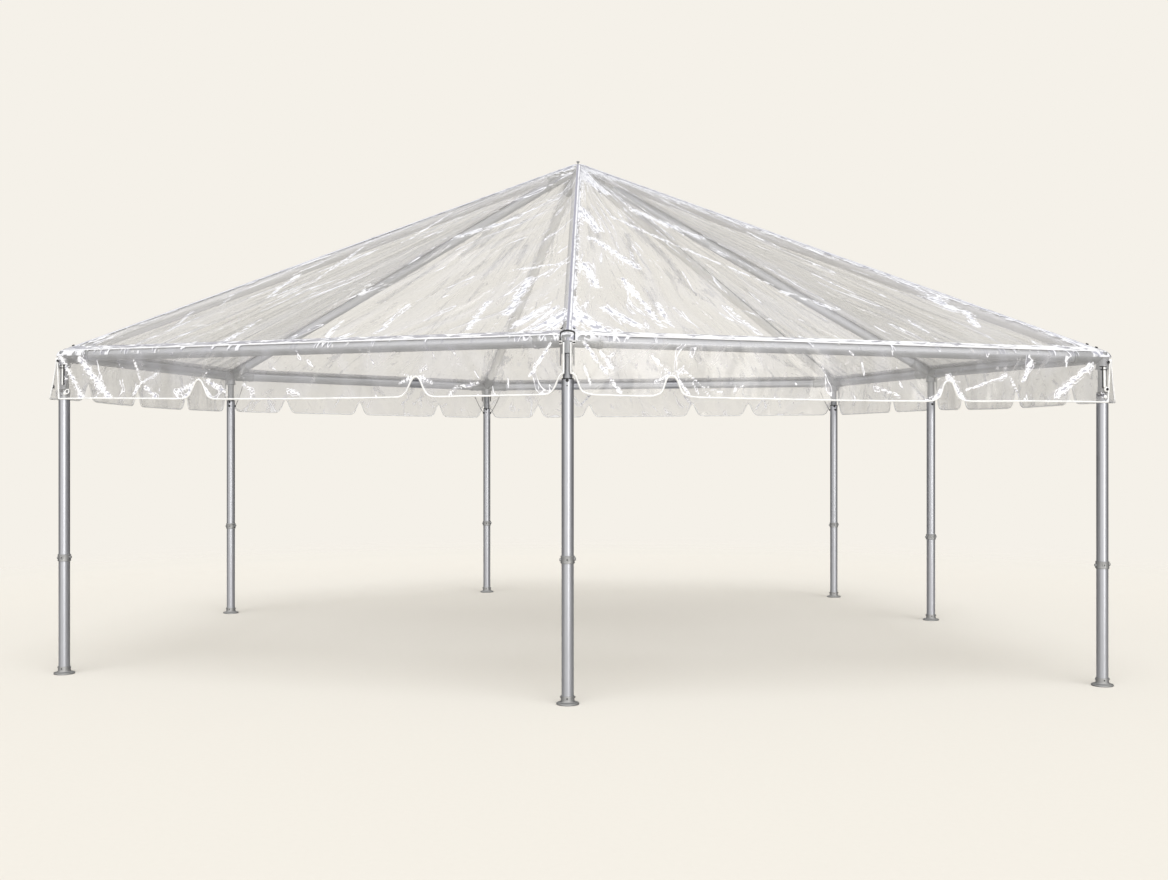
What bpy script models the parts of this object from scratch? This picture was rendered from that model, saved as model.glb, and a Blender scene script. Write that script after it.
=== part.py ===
"""A clear-topped marquee tent on a seven-legged frame of aluminium tube.

Metres, +Z up, floor at z = 0. +X runs from the left front leg to the right front leg and the
front leg stands at -Y. Every shape is worked out from the driving dimensions below.
"""

import math
from collections import namedtuple

import bmesh
import bpy
from mathutils import Matrix, Vector

# Where each leg stands, measured from the point under the peak, the height of the eave rail's
# axis there, and the height of the coupler in the leg. The legs go round anticlockwise.
Leg = namedtuple("Leg", "x y eave coupler")
LEGS = {
    "left_front": Leg(-3.48, -2.25, 2.24, 0.82),
    "front": Leg(0.15, -3.11, 2.26, 0.90),
    "right_front": Leg(3.68, -2.25, 2.20, 0.81),
    "right_back": Leg(3.20, 1.03, 2.28, 0.77),
    "back_right": Leg(2.54, 2.84, 2.28, 0.77),
    "back_left": Leg(-1.22, 3.07, 2.26, 0.76),
    "left_back": Leg(-3.43, 1.11, 2.28, 0.84),
}
PEAK_HEIGHT = 4.0  # where the rafters' axes meet

# The sides of the tent, each from one leg to the next, with the places of the scallops'
# notches along it, as shares of its length.
Side = namedtuple("Side", "start end notches")
SIDES = {
    "front_left": Side("left_front", "front", (0.30, 0.73)),
    "front_right": Side("front", "right_front", (0.18, 0.69)),
    "right": Side("right_front", "right_back", (0.17, 0.46, 0.80)),
    "back_right": Side("right_back", "back_right", (0.41,)),
    "back": Side("back_right", "back_left", (0.24, 0.40, 0.70, 0.85)),
    "back_left": Side("back_left", "left_back", (0.20, 0.52, 0.80)),
    "left": Side("left_back", "left_front", (0.30, 0.60, 0.86)),
}
SEWN_CORNERS = ("left_front", "right_front")  # at the other legs the valance is slit

# Tube
TUBE_RADIUS = 0.0381
TUBE_WALL = 0.0032
GAP = 0.0003  # between two pieces that touch
ROUND_SIDES = 16
SHARP_ANGLE = math.radians(35)  # edges that turn by more than this are shaded sharp

# Foot
PLATE_RADIUS = 0.0715
PLATE_THICKNESS = 0.012
PLATE_EDGE = 0.003
FLARE_HEIGHT = 0.026
FLARE_MIDDLE = (0.35, 0.25)  # shares of the flare's width and height at the bend of its curve
FOOT_COLLAR_RADIUS = 0.0425
FOOT_COLLAR_TOP = 0.055

# Coupler collar round the top of the lower leg
COUPLER_RADIUS = 0.0445
COUPLER_HEIGHT = 0.050
COUPLER_LIP = 0.010  # how far the collar stands over the lower tube's end

# Eave fitting
SOCKET_RADIUS = 0.042
SOCKET_START = 0.007  # from the node, inside the fitting's body
BODY_RADIUS = 0.0408
BORE_RADIUS = TUBE_RADIUS + GAP / math.cos(math.pi / ROUND_SIDES)
BORE_START = 0.095  # from the node to the bottom of a socket's bore
SOCKET_END = 0.22
LEG_RIM_DROP = 0.24  # from the rail's axis down to the leg tube's rim
SPIGOT_RADIUS = 0.027
BUSH_LENGTH = 0.12
BODY_DROP = 0.065  # from the rail's axis down to the underside of the fitting's body

# Crown
CROWN_BORE_START = 0.19
CROWN_SOCKET_END = 0.34
CROWN_BOSS_RADIUS = 0.035
CROWN_BOSS_DROP = 0.075
CROWN_BOSS_RISE = 0.020
FINIAL_STEM_RADIUS = 0.006
FINIAL_RADIUS = 0.0135
FINIAL_BASE = 0.056  # above the rafters' meeting point
FINIAL_HEIGHT = 0.019
FINIAL_SHARES = (0.25, 0.60, 0.92)  # of its height: widest from, widest to, start of the flat top
FINIAL_TOP_SHARE = 0.6  # radius of the flat top, as a share of the widest
STEM_TAPER = 0.006  # height over which the boss narrows to the stem

# Film
FILM_THICKNESS = 0.003
FILM_INSIDE = SOCKET_RADIUS + GAP  # from a tube's axis to the film's inner face
PEAK_HOLE = 0.022
VALANCE_DROP = 0.335  # from the rail's axis down to the valance's lower edge
NOTCH_HEIGHT = 0.132
NOTCH_WIDTH = 0.050  # the notch's curve falls to a third of its height this far from its middle
NOTCH_REACH = 0.110
NOTCH_STEPS = 10
SLIT_SETBACK = 0.010  # from the leg's axis to the valance's edge at a slit
CORNER_SETBACK = 0.008  # from the sewn corner to the end of each valance piece

UP = Vector((0.0, 0.0, 1.0))


def midway(values):
    """Half way between the lowest and the highest of the values."""
    return (min(values) + max(values)) / 2


CENTRE_X = midway([leg.x for leg in LEGS.values()])
CENTRE_Y = midway([leg.y for leg in LEGS.values()])
CENTRE = Vector((CENTRE_X, CENTRE_Y, 0.0))
NODES = {name: Vector((leg.x, leg.y, leg.eave)) - CENTRE for name, leg in LEGS.items()}
PEAK = Vector((0.0, 0.0, PEAK_HEIGHT)) - CENTRE


def clear_scene():
    for obj in list(bpy.data.objects):
        bpy.data.objects.remove(obj, do_unlink=True)


def make_material(name, colour, roughness, metallic, alpha=1.0):
    material = bpy.data.materials.new(name)
    material.use_nodes = True
    shader = material.node_tree.nodes["Principled BSDF"]
    shader.inputs["Base Color"].default_value = (*colour, 1.0)
    shader.inputs["Roughness"].default_value = roughness
    shader.inputs["Metallic"].default_value = metallic
    shader.inputs["Alpha"].default_value = alpha
    return material


def finish(bm, name, material, smooth=True):
    """Makes the mesh in bm an object of its own, with its faces turned outwards."""
    bmesh.ops.recalc_face_normals(bm, faces=bm.faces)
    mesh = bpy.data.meshes.new(name)
    bm.to_mesh(mesh)
    bm.free()
    if smooth:
        mesh.shade_smooth()
        mesh.set_sharp_from_angle(angle=SHARP_ANGLE)
    obj = bpy.data.objects.new(name, mesh)
    bpy.context.scene.collection.objects.link(obj)
    if material is not None:
        mesh.materials.append(material)
    return obj


def turned(name, profile, material, closed=False):
    """Turns a profile of (radius, height) points round Z. A closed profile makes a ring or a tube,
    and any other starts and ends on the axis."""
    bm = bmesh.new()
    rings = []
    for radius, height in profile:
        if radius == 0.0:
            rings.append([bm.verts.new((0.0, 0.0, height))])
            continue
        angles = [2 * math.pi * k / ROUND_SIDES for k in range(ROUND_SIDES)]
        rings.append([bm.verts.new((radius * math.cos(a), radius * math.sin(a), height)) for a in angles])
    pairs = list(zip(rings, rings[1:]))
    if closed:
        pairs.append((rings[-1], rings[0]))
    for lower, upper in pairs:
        for k in range(ROUND_SIDES):
            around = (k + 1) % ROUND_SIDES
            corners = [lower[k % len(lower)], lower[around % len(lower)]]
            corners += [upper[around % len(upper)], upper[k % len(upper)]]
            bm.faces.new(list(dict.fromkeys(corners)))
    return finish(bm, name, material)


def place(obj, start, direction):
    """Moves an object made round its own Z so that it starts at start and runs along direction."""
    obj.rotation_mode = "QUATERNION"
    obj.rotation_quaternion = direction.to_track_quat("Z", "Y")
    obj.location = start
    return obj


def tube(name, start, end, material):
    """A straight tube with open ends."""
    length = (end - start).length
    inner = TUBE_RADIUS - TUBE_WALL
    profile = [(inner, 0.0), (TUBE_RADIUS, 0.0), (TUBE_RADIUS, length), (inner, length)]
    return place(turned(name, profile, material, closed=True), start, end - start)


def rod(name, start, end, radius, material=None):
    """A straight solid rod."""
    length = (end - start).length
    profile = [(0.0, 0.0), (radius, 0.0), (radius, length), (0.0, length)]
    return place(turned(name, profile, material), start, end - start)


def combine(target, helper, operation):
    """Adds a helper to the target, or takes it away, and hides it."""
    step = target.modifiers.new(helper.name, "BOOLEAN")
    step.object = helper
    step.operation = operation
    step.solver = "EXACT"
    helper.hide_render = True
    helper.display_type = "WIRE"


def add_sockets(target, node, ends, bore_start, socket_end):
    """Gives the target a socket from the node towards each end, bored to take a tube."""
    directions = [(end - node).normalized() for end in ends]
    for number, direction in enumerate(directions, 1):
        name = f"{target.name}_arm_{number}"
        arm_start = node + direction * SOCKET_START * number
        arm = rod(name, arm_start, node + direction * socket_end, SOCKET_RADIUS)
        combine(target, arm, "UNION")
    for number, direction in enumerate(directions, 1):
        name = f"{target.name}_bore_{number}"
        bore_end = node + direction * (socket_end + TUBE_RADIUS)
        bore = rod(name, node + direction * bore_start, bore_end, BORE_RADIUS)
        combine(target, bore, "DIFFERENCE")


def between(start, end, start_inset, end_inset):
    """The two points that lie these distances inwards from the ends of a line."""
    direction = (end - start).normalized()
    return start + direction * start_inset, end - direction * end_inset


def make_foot(name, node, material):
    """A round plate whose flared collar takes the foot of the leg."""
    flare_radius = FOOT_COLLAR_RADIUS + FLARE_MIDDLE[0] * (PLATE_RADIUS - FOOT_COLLAR_RADIUS)
    flare_middle = PLATE_THICKNESS + FLARE_MIDDLE[1] * (FLARE_HEIGHT - PLATE_THICKNESS)
    profile = [
        (0.0, 0.0),
        (PLATE_RADIUS - PLATE_EDGE, 0.0),
        (PLATE_RADIUS, PLATE_EDGE),
        (PLATE_RADIUS, PLATE_THICKNESS - PLATE_EDGE),
        (PLATE_RADIUS - PLATE_EDGE, PLATE_THICKNESS),
        (flare_radius, flare_middle),
        (FOOT_COLLAR_RADIUS, FLARE_HEIGHT),
        (FOOT_COLLAR_RADIUS, FOOT_COLLAR_TOP),
        (BORE_RADIUS, FOOT_COLLAR_TOP),
        (BORE_RADIUS, PLATE_THICKNESS),
        (0.0, PLATE_THICKNESS),
    ]
    return place(turned(f"base_plate_{name}", profile, material), Vector((node.x, node.y, 0.0)), UP)


def make_leg(name, node, coupler, material):
    """The two lengths of a leg. The coupler collar is fixed round the top of the lower one."""
    foot = Vector((node.x, node.y, PLATE_THICKNESS + GAP))
    seam = coupler + COUPLER_HEIGHT / 2 - COUPLER_LIP
    collar_bottom = coupler - COUPLER_HEIGHT / 2
    inner = TUBE_RADIUS - TUBE_WALL
    heights = [height - foot.z for height in (collar_bottom, collar_bottom + COUPLER_HEIGHT, seam)]
    profile = [
        (inner, 0.0),
        (TUBE_RADIUS, 0.0),
        (TUBE_RADIUS, heights[0]),
        (COUPLER_RADIUS, heights[0]),
        (COUPLER_RADIUS, heights[1]),
        (BORE_RADIUS, heights[1]),
        (BORE_RADIUS, heights[2]),
        (inner, heights[2]),
    ]
    place(turned(f"lower_leg_{name}", profile, material, closed=True), foot, UP)
    top = Vector((node.x, node.y, node.z - LEG_RIM_DROP))
    tube(f"upper_leg_{name}", Vector((node.x, node.y, seam + GAP)), top, material)


def make_eave_fitting(name, node, neighbours, material):
    """The cast body at the top of a leg: bush and spigot in the leg, ball, and three sockets."""
    bush_radius = TUBE_RADIUS - TUBE_WALL - GAP / math.cos(math.pi / ROUND_SIDES)
    rim = -LEG_RIM_DROP
    shoulder = BODY_RADIUS - SPIGOT_RADIUS
    profile = [
        (0.0, rim - BUSH_LENGTH),
        (bush_radius, rim - BUSH_LENGTH),
        (bush_radius, rim - GAP),
        (SPIGOT_RADIUS, rim - GAP),
        (SPIGOT_RADIUS, -BODY_DROP - shoulder),
        (BODY_RADIUS, -BODY_DROP),
    ]
    dome = [math.radians(angle) for angle in (0, 30, 60)]
    profile += [(BODY_RADIUS * math.cos(a), BODY_RADIUS * math.sin(a)) for a in dome]
    profile.append((0.0, BODY_RADIUS))
    fitting = place(turned(f"eave_fitting_{name}", profile, material), node, UP)
    add_sockets(fitting, node, [*neighbours, PEAK], BORE_START, SOCKET_END)


def make_crown(material):
    """The hub where the rafters meet, with the finial that stands through the top of the film."""
    bulge, shoulder, flat = (FINIAL_BASE + share * FINIAL_HEIGHT for share in FINIAL_SHARES)
    profile = [
        (0.0, -CROWN_BOSS_DROP),
        (CROWN_BOSS_RADIUS, -CROWN_BOSS_DROP),
        (CROWN_BOSS_RADIUS, CROWN_BOSS_RISE),
        (FINIAL_STEM_RADIUS, CROWN_BOSS_RISE + STEM_TAPER),
        (FINIAL_STEM_RADIUS, FINIAL_BASE),
        (FINIAL_RADIUS, bulge),
        (FINIAL_RADIUS, shoulder),
        (FINIAL_TOP_SHARE * FINIAL_RADIUS, flat),
        (0.0, FINIAL_BASE + FINIAL_HEIGHT),
    ]
    crown = place(turned("crown", profile, material), PEAK, UP)
    add_sockets(crown, PEAK, NODES.values(), CROWN_BORE_START, CROWN_SOCKET_END)


def slab(name, inner, outer, material):
    """A flat piece of film between two outlines that have their points in the same order."""
    bm = bmesh.new()
    faces = [[bm.verts.new(point) for point in outline] for outline in (inner, outer)]
    bm.faces.new(faces[0])
    bm.faces.new(faces[1][::-1])
    count = len(inner)
    for k in range(count):
        after = (k + 1) % count
        bm.faces.new([faces[0][k], faces[1][k], faces[1][after], faces[0][after]])
    return finish(bm, name, material, smooth=False)


def outward(side):
    """The level direction that points away from the tent, square to one of its sides."""
    along = NODES[side.end] - NODES[side.start]
    return along.cross(UP).normalized()


def roof_normal(side):
    """The upward normal of the plane through a side's eave rail and the peak."""
    start = NODES[side.start]
    return (NODES[side.end] - start).cross(PEAK - start).normalized()


def sides_at(leg_name):
    """The side that ends at a leg and the side that starts there."""
    ending = next(side for side in SIDES.values() if side.end == leg_name)
    starting = next(side for side in SIDES.values() if side.start == leg_name)
    return ending, starting


def hip_point(leg_name, side, offset, reach):
    """A point of the line where the two films beside a rafter meet, each held this far off the
    tubes' axes, at the given distance outwards from the line between the leg and the side's
    other leg. The peak lies inwards, at a negative distance."""
    node = NODES[leg_name]
    rafter = (PEAK - node).normalized()
    normals = [roof_normal(each) for each in sides_at(leg_name)]
    rows = Matrix((normals[0], normals[1], rafter))
    base = rows.inverted() @ Vector((offset, offset, 0.0))
    level = outward(side)
    return node + base + rafter * ((reach - level.dot(base)) / level.dot(rafter))


def make_roof_panel(name, side, material):
    """The film between two rafters, lying on the sockets, cut off square at the peak."""
    reach = FILM_INSIDE + FILM_THICKNESS
    peak_reach = PEAK_HOLE - outward(side).dot(NODES[side.start] - PEAK)
    outlines = []
    for offset in (FILM_INSIDE, FILM_INSIDE + FILM_THICKNESS):
        outline = [
            hip_point(side.start, side, offset, reach),
            hip_point(side.end, side, offset, reach),
            hip_point(side.end, side, offset, peak_reach),
            hip_point(side.start, side, offset, peak_reach),
        ]
        along = (NODES[side.end] - NODES[side.start]).normalized() * GAP
        outlines.append([point + along * turn for point, turn in zip(outline, (1, -1, -1, 1))])
    slab(f"roof_panel_{name}", *outlines, material)


def end_setback(leg_name, side):
    """How far from the leg's axis, inwards along the side, the valance's edge hangs."""
    if leg_name not in SEWN_CORNERS:
        return SLIT_SETBACK
    ending, starting = sides_at(leg_name)
    turn = outward(ending).angle(outward(starting))
    return CORNER_SETBACK - FILM_INSIDE * math.tan(turn / 2)


def lower_edge(side, first, last, length):
    """The valance's lower edge as (distance along the side, height over the edge). A notch is a
    bell curve, and at a slit half a notch rises to the leg."""
    middles = [share * length for share in side.notches]
    if side.start not in SEWN_CORNERS:
        middles.insert(0, first)
    if side.end not in SEWN_CORNERS:
        middles.append(last)
    steps = [NOTCH_REACH * k / NOTCH_STEPS for k in range(-NOTCH_STEPS, NOTCH_STEPS + 1)]
    stations = [first, last] + [middle + step for middle in middles for step in steps]
    stations = sorted({round(station, 5) for station in stations if first <= station <= last})
    edge = []
    for station in stations:
        nearest = min(abs(station - middle) for middle in middles)
        edge.append((station, NOTCH_HEIGHT * math.exp(-((nearest / NOTCH_WIDTH) ** 2))))
    return edge


def make_valance(name, side, material):
    """The scalloped film that hangs outside one eave rail."""
    start, end = NODES[side.start], NODES[side.end]
    along = end - start
    length = along.to_2d().length
    level = outward(side)
    normal = roof_normal(side)
    first = end_setback(side.start, side)
    last = length - end_setback(side.end, side)
    outer_reach = FILM_INSIDE + FILM_THICKNESS
    top = (FILM_INSIDE - outer_reach * normal.dot(level)) / normal.z - GAP
    edge = [(station, rise - VALANCE_DROP) for station, rise in lower_edge(side, first, last, length)]
    edge += [(last, top), (first, top)]
    outlines = []
    for reach in (FILM_INSIDE, outer_reach):
        foot = start + level * reach
        outlines.append([foot + along * (station / length) + UP * rise for station, rise in edge])
    slab(f"valance_{name}", *outlines, material)


def main():
    clear_scene()
    aluminium = make_material("aluminium_tube", (0.62, 0.63, 0.65), 0.34, 1.0)
    casting = make_material("cast_fitting", (0.55, 0.56, 0.58), 0.42, 1.0)
    film = make_material("clear_vinyl", (0.93, 0.93, 0.94), 0.12, 0.0, alpha=0.3)
    names = list(LEGS)
    for number, (name, leg) in enumerate(LEGS.items()):
        node = NODES[name]
        neighbours = [NODES[names[number - 1]], NODES[names[(number + 1) % len(names)]]]
        make_foot(name, node, casting)
        make_leg(name, node, leg.coupler, aluminium)
        make_eave_fitting(name, node, neighbours, casting)
        ends = between(node, PEAK, BORE_START + GAP, CROWN_BORE_START + GAP)
        tube(f"rafter_{name}", *ends, aluminium)
    for name, side in SIDES.items():
        ends = between(NODES[side.start], NODES[side.end], BORE_START + GAP, BORE_START + GAP)
        tube(f"eave_rail_{name}", *ends, aluminium)
        make_roof_panel(name, side, film)
        make_valance(name, side, film)
    make_crown(casting)


main()
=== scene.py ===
# %% [markdown]
# A clear-topped marquee tent. The real one is a frame of aluminium tube that comes apart for
# transport: seven legs on round foot plates, a rail between the heads of each two legs, and a
# rafter from each leg up to a crown. A cover of clear vinyl lies over the frame and hangs down
# outside the rails as a scalloped valance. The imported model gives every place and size, and this
# lesson gives each surface its shape and finish.

import math
from collections import namedtuple

import bpy
import numpy as np
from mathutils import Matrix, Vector

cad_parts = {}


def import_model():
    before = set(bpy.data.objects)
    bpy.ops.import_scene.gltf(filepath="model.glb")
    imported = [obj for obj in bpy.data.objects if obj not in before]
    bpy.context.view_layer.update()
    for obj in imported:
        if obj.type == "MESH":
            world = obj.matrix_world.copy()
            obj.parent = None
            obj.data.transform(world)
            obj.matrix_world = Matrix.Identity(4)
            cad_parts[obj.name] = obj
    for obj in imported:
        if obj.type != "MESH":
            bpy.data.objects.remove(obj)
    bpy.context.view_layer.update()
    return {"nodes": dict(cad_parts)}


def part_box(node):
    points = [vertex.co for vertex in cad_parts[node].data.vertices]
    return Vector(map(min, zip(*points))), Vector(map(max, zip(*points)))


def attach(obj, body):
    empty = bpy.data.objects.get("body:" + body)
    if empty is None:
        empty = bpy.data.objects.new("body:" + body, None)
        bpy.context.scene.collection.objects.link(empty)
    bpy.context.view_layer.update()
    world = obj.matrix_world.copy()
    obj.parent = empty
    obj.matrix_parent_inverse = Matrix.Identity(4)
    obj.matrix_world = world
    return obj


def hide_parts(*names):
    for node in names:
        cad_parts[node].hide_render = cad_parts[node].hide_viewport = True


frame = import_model()

# %% [markdown]
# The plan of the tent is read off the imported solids, so that the looks can't drift from the
# construction. It could be typed in again as numbers, but then a change to the solids would part
# the two. A foot plate gives a leg's place. The rim of the leg's tube lies a fixed drop below the
# axis of the eave rails, and the knob on the crown stands a fixed rise over the point where the
# rafters' axes meet.

# %% The plan
LEGS = ("left_front", "front", "right_front", "right_back", "back_right", "back_left", "left_back")
SIDES = ("front_left", "front_right", "right", "back_right", "back", "back_left", "left")
COUNT = len(LEGS)
RIM_DROP = 0.24
KNOB_RISE = 0.075
UP = np.array((0.0, 0.0, 1.0))


def box(node):
    """The lowest and the highest corner of a CAD node as arrays."""
    low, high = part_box(node)
    return np.array(low), np.array(high)


def head_of(leg):
    """Where the axes of a leg and its rails meet: over the middle of the leg's foot plate, and a
    fixed rise over the rim of its tube."""
    low, high = box(f"base_plate_{leg}")
    rim = box(f"upper_leg_{leg}")[1][2]
    return [*(low + high)[:2] / 2, rim + RIM_DROP]


HEADS = np.array([head_of(name) for name in LEGS])
crown_points = np.array([vertex.co for vertex in frame["nodes"]["crown"].data.vertices])
PEAK = crown_points[crown_points[:, 2].argmax()] - KNOB_RISE * UP
print("peak", PEAK.round(3), "eave heights", HEADS[:, 2].round(3))

# %% [markdown]
# Each side needs three directions: along its rail, level and outwards, and square to the slope of
# the roof. A side is numbered as the leg that it starts from, so all of them are worked out at once
# as arrays of seven rows, and no side is drawn by hand.

# %% Directions of the sides
SPANS = np.roll(HEADS, -1, axis=0) - HEADS


def unit(vectors):
    """Vectors divided by their length, along the last axis."""
    return vectors / np.linalg.norm(vectors, axis=-1, keepdims=True)


ALONG = unit(SPANS)
OUTWARD = unit(np.cross(ALONG, UP))
NORMAL = unit(np.cross(SPANS, PEAK - HEADS))
RAFTER = unit(PEAK - HEADS)
LENGTH = np.linalg.norm(SPANS, axis=1)
OVER_RAFTER = unit(np.cross(np.cross(RAFTER, UP), RAFTER))  # square to each rafter, and up
OUT_OF_LEG = unit(OUTWARD + np.roll(OUTWARD, 1, axis=0))  # level, half way between both sides
OVER_FOLD = unit(NORMAL + np.roll(NORMAL, 1, axis=0))  # half way between both slopes
print("side lengths", LENGTH.round(2), "slopes", (90 - np.degrees(np.arccos(NORMAL[:, 2]))).round(1))

# %% [markdown]
# The camera stands outside the front, a little to the right, at the height of a person's chest and
# looks level, so upright tubes stay upright in the picture. Tilting it up would frame the roof as
# well, but the legs would lean. Its lens and place come from a fit of the feet, the eaves and the
# peak.

# %% Camera
camera_data = bpy.data.cameras.new("camera")
camera_data.lens = 40.07
camera_data.sensor_width = 36.0
camera_data.shift_y = 0.006
camera = bpy.data.objects.new("camera", camera_data)
camera.location = (0.671, -11.154, 1.6)
camera.rotation_euler = (math.radians(90.0), 0.0, math.radians(3.683))
bpy.context.scene.collection.objects.link(camera)
bpy.context.scene.camera = camera
print("camera:", camera_data.lens, "mm lens at", tuple(round(value, 3) for value in camera.location))

# %% [markdown]
# Shader maths reads best as arithmetic. It could be drawn as a web of Math nodes, or set down node
# by node, but a formula is far shorter to read. A small class wraps an output socket, and Python's
# operators on it add the Math nodes.

# %% Shader arithmetic


class Wire:
    """One output socket of a shader, with arithmetic on it."""

    def __init__(self, tree, socket):
        self.tree = tree
        self.socket = socket

    def math(self, operation, *values, clamp=False):
        """A Math node that takes these values in this order."""
        node = self.tree.nodes.new("ShaderNodeMath")
        node.operation = operation
        node.use_clamp = clamp
        for slot, value in zip(node.inputs, values):
            connect(self.tree, slot, value)
        return Wire(self.tree, node.outputs[0])

    def __add__(self, other):
        return self.math("ADD", self, other)

    def __radd__(self, other):
        return self.math("ADD", other, self)

    def __sub__(self, other):
        return self.math("SUBTRACT", self, other)

    def __rsub__(self, other):
        return self.math("SUBTRACT", other, self)

    def __mul__(self, other):
        return self.math("MULTIPLY", self, other)

    def __rmul__(self, other):
        return self.math("MULTIPLY", other, self)

    def __truediv__(self, other):
        return self.math("DIVIDE", self, other)

    def __rtruediv__(self, other):
        return self.math("DIVIDE", other, self)

    def __pow__(self, other):
        return self.math("POWER", self, other)

    def at_least(self, other):
        """The larger of both values."""
        return self.math("MAXIMUM", self, other)

    def held(self):
        """The value, kept from 0 to 1."""
        return self.math("ADD", self, 0.0, clamp=True)

    def size(self):
        """The value without its sign."""
        return self.math("ABSOLUTE", self)

    def sine(self):
        """The sine of the value, in radians."""
        return self.math("SINE", self)

    def step(self, low, high):
        """0 up to low and 1 from high, with a smooth rise between them."""
        node = self.tree.nodes.new("ShaderNodeMapRange")
        node.interpolation_type = "SMOOTHSTEP"
        connect(self.tree, node.inputs["Value"], self)
        connect(self.tree, node.inputs["From Min"], low)
        connect(self.tree, node.inputs["From Max"], high)
        return Wire(self.tree, node.outputs["Result"])


def connect(tree, slot, value):
    """Feeds an input with a wire, or sets it to a number, a colour or a vector."""
    if isinstance(value, Wire):
        tree.links.new(value.socket, slot)
    elif slot.type == "RGBA" and len(value) == 3:
        slot.default_value = (*value, 1.0)
    else:
        slot.default_value = value


# %% [markdown]
# A second class holds the nodes of one material. Any node comes from its one method node, which
# takes the node's type, its settings and the values or wires of its inputs, and the few that every
# finish here needs have short names of their own.

# %% Shaders


class Shader:
    """The nodes of one material or world."""

    def __init__(self, owner):
        owner.use_nodes = True
        self.tree = owner.node_tree
        self.tree.nodes.clear()

    def node(self, kind, settings=None, values=None, out=0):
        """Adds a node: its settings first, then its inputs. Gives an output, by number or name."""
        node = self.tree.nodes.new(f"ShaderNode{kind}")
        for name, setting in (settings or {}).items():
            setattr(node, name, setting)
        for name, value in (values or {}).items():
            connect(self.tree, node.inputs[name], value)
        return Wire(self.tree, node.outputs[out])

    def noise(self, x, y, z=0.0, detail=2.0, roughness=0.5, distortion=0.0):
        """Soft noise from 0 to 1 with one feature to each unit of the place x, y, z."""
        place = self.node("CombineXYZ", values={"X": x, "Y": y, "Z": z})
        values = {"Vector": place, "Scale": 1.0, "Detail": detail}
        values.update({"Roughness": roughness, "Distortion": distortion})
        return self.node("TexNoise", values=values)

    def parts(self, vector):
        """The three numbers of a vector."""
        split = self.node("SeparateXYZ", values={"Vector": vector}).socket.node
        return [Wire(self.tree, output) for output in split.outputs]

    def surface_place(self):
        """Metres across and along the piece, from its own map."""
        return self.parts(self.node("UVMap", {"uv_map": "metres"}))[:2]

    def space_place(self):
        """Metres in the tent's frame, because every piece's object sits at the origin."""
        return self.parts(self.node("TexCoord", out="Object"))

    def blend(self, share, first, second):
        """A colour between two others. The Mix node's sockets for colours are its seventh and
        eighth, after those for numbers and vectors."""
        colour_sockets = {"Factor": share, 6: first, 7: second}
        return self.node("Mix", {"data_type": "RGBA"}, colour_sockets, out=2)

    def mix(self, share, first, second):
        """A surface between two others."""
        return self.node("MixShader", values={0: share, 1: first, 2: second})

    def bump(self, height):
        """A normal from a height in metres."""
        return self.node("Bump", values={"Strength": 1.0, "Distance": 1.0, "Height": height})

    def principled(self, colour, roughness, normal, metallic=0.0):
        """A solid surface of one colour, roughness and normal."""
        values = {"Base Color": colour, "Metallic": metallic, "Roughness": roughness, "Normal": normal}
        return self.node("BsdfPrincipled", values=values)

    def end(self, surface, output="OutputMaterial"):
        """Makes a surface the one that shows."""
        node = self.tree.nodes.new(f"ShaderNode{output}")
        self.tree.links.new(surface.socket, node.inputs["Surface"])


def new_material(name):
    """A material and its empty shader."""
    material = bpy.data.materials.new(name)
    return material, Shader(material)


def scaled(tone, factor):
    """A colour made darker or lighter."""
    return [min(1.0, value * factor) for value in tone]


# %% [markdown]
# Soft studio light could come from several large lamps. Here a single wide sun from above stands
# for a large overhead diffuser and gives the soft shade under the roof, and one lamp behind the
# tent brightens the far floor. Film mirrors a sun as a hard white patch, so the sun is kept out of
# reflections.

# %% Lamps
SUN_TINT = (0.92, 0.955, 1.0)
SUN_WIDTH = math.radians(40)


def light(name, kind, place, aim, power, **settings):
    """A lamp at a place that points at another place."""
    data = bpy.data.lights.new(name, kind)
    data.energy = power
    for key, value in settings.items():
        setattr(data, key, value)
    lamp = bpy.data.objects.new(name, data)
    lamp.location = place
    lamp.rotation_euler = (Vector(aim) - Vector(place)).to_track_quat("-Z", "Y").to_euler()
    bpy.context.scene.collection.objects.link(lamp)
    return lamp


overhead = light("overhead", "SUN", (0.8, -4.6, 12.0), (0.0, 0.0, 0.0), 1.72, color=SUN_TINT, angle=SUN_WIDTH)
overhead.visible_glossy = False
light("back_box", "AREA", (-4.0, 9.0, 4.2), (0.0, 0.0, 3.0), 15.0, shape="RECTANGLE", size=7.0, size_y=1.2)
print("lamps:", len(bpy.data.lights))

# %% [markdown]
# Metal and film show little but what they mirror. The world therefore has two faces: the camera
# sees plain cream, and everything that mirrors it sees a room with a bright front, dim sides, a
# dark back and one bright strip, which is what gives tube its dark edges and film its contrast.
# In a world, Generated is the direction that is looked in, so the room is a formula of that.

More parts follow.
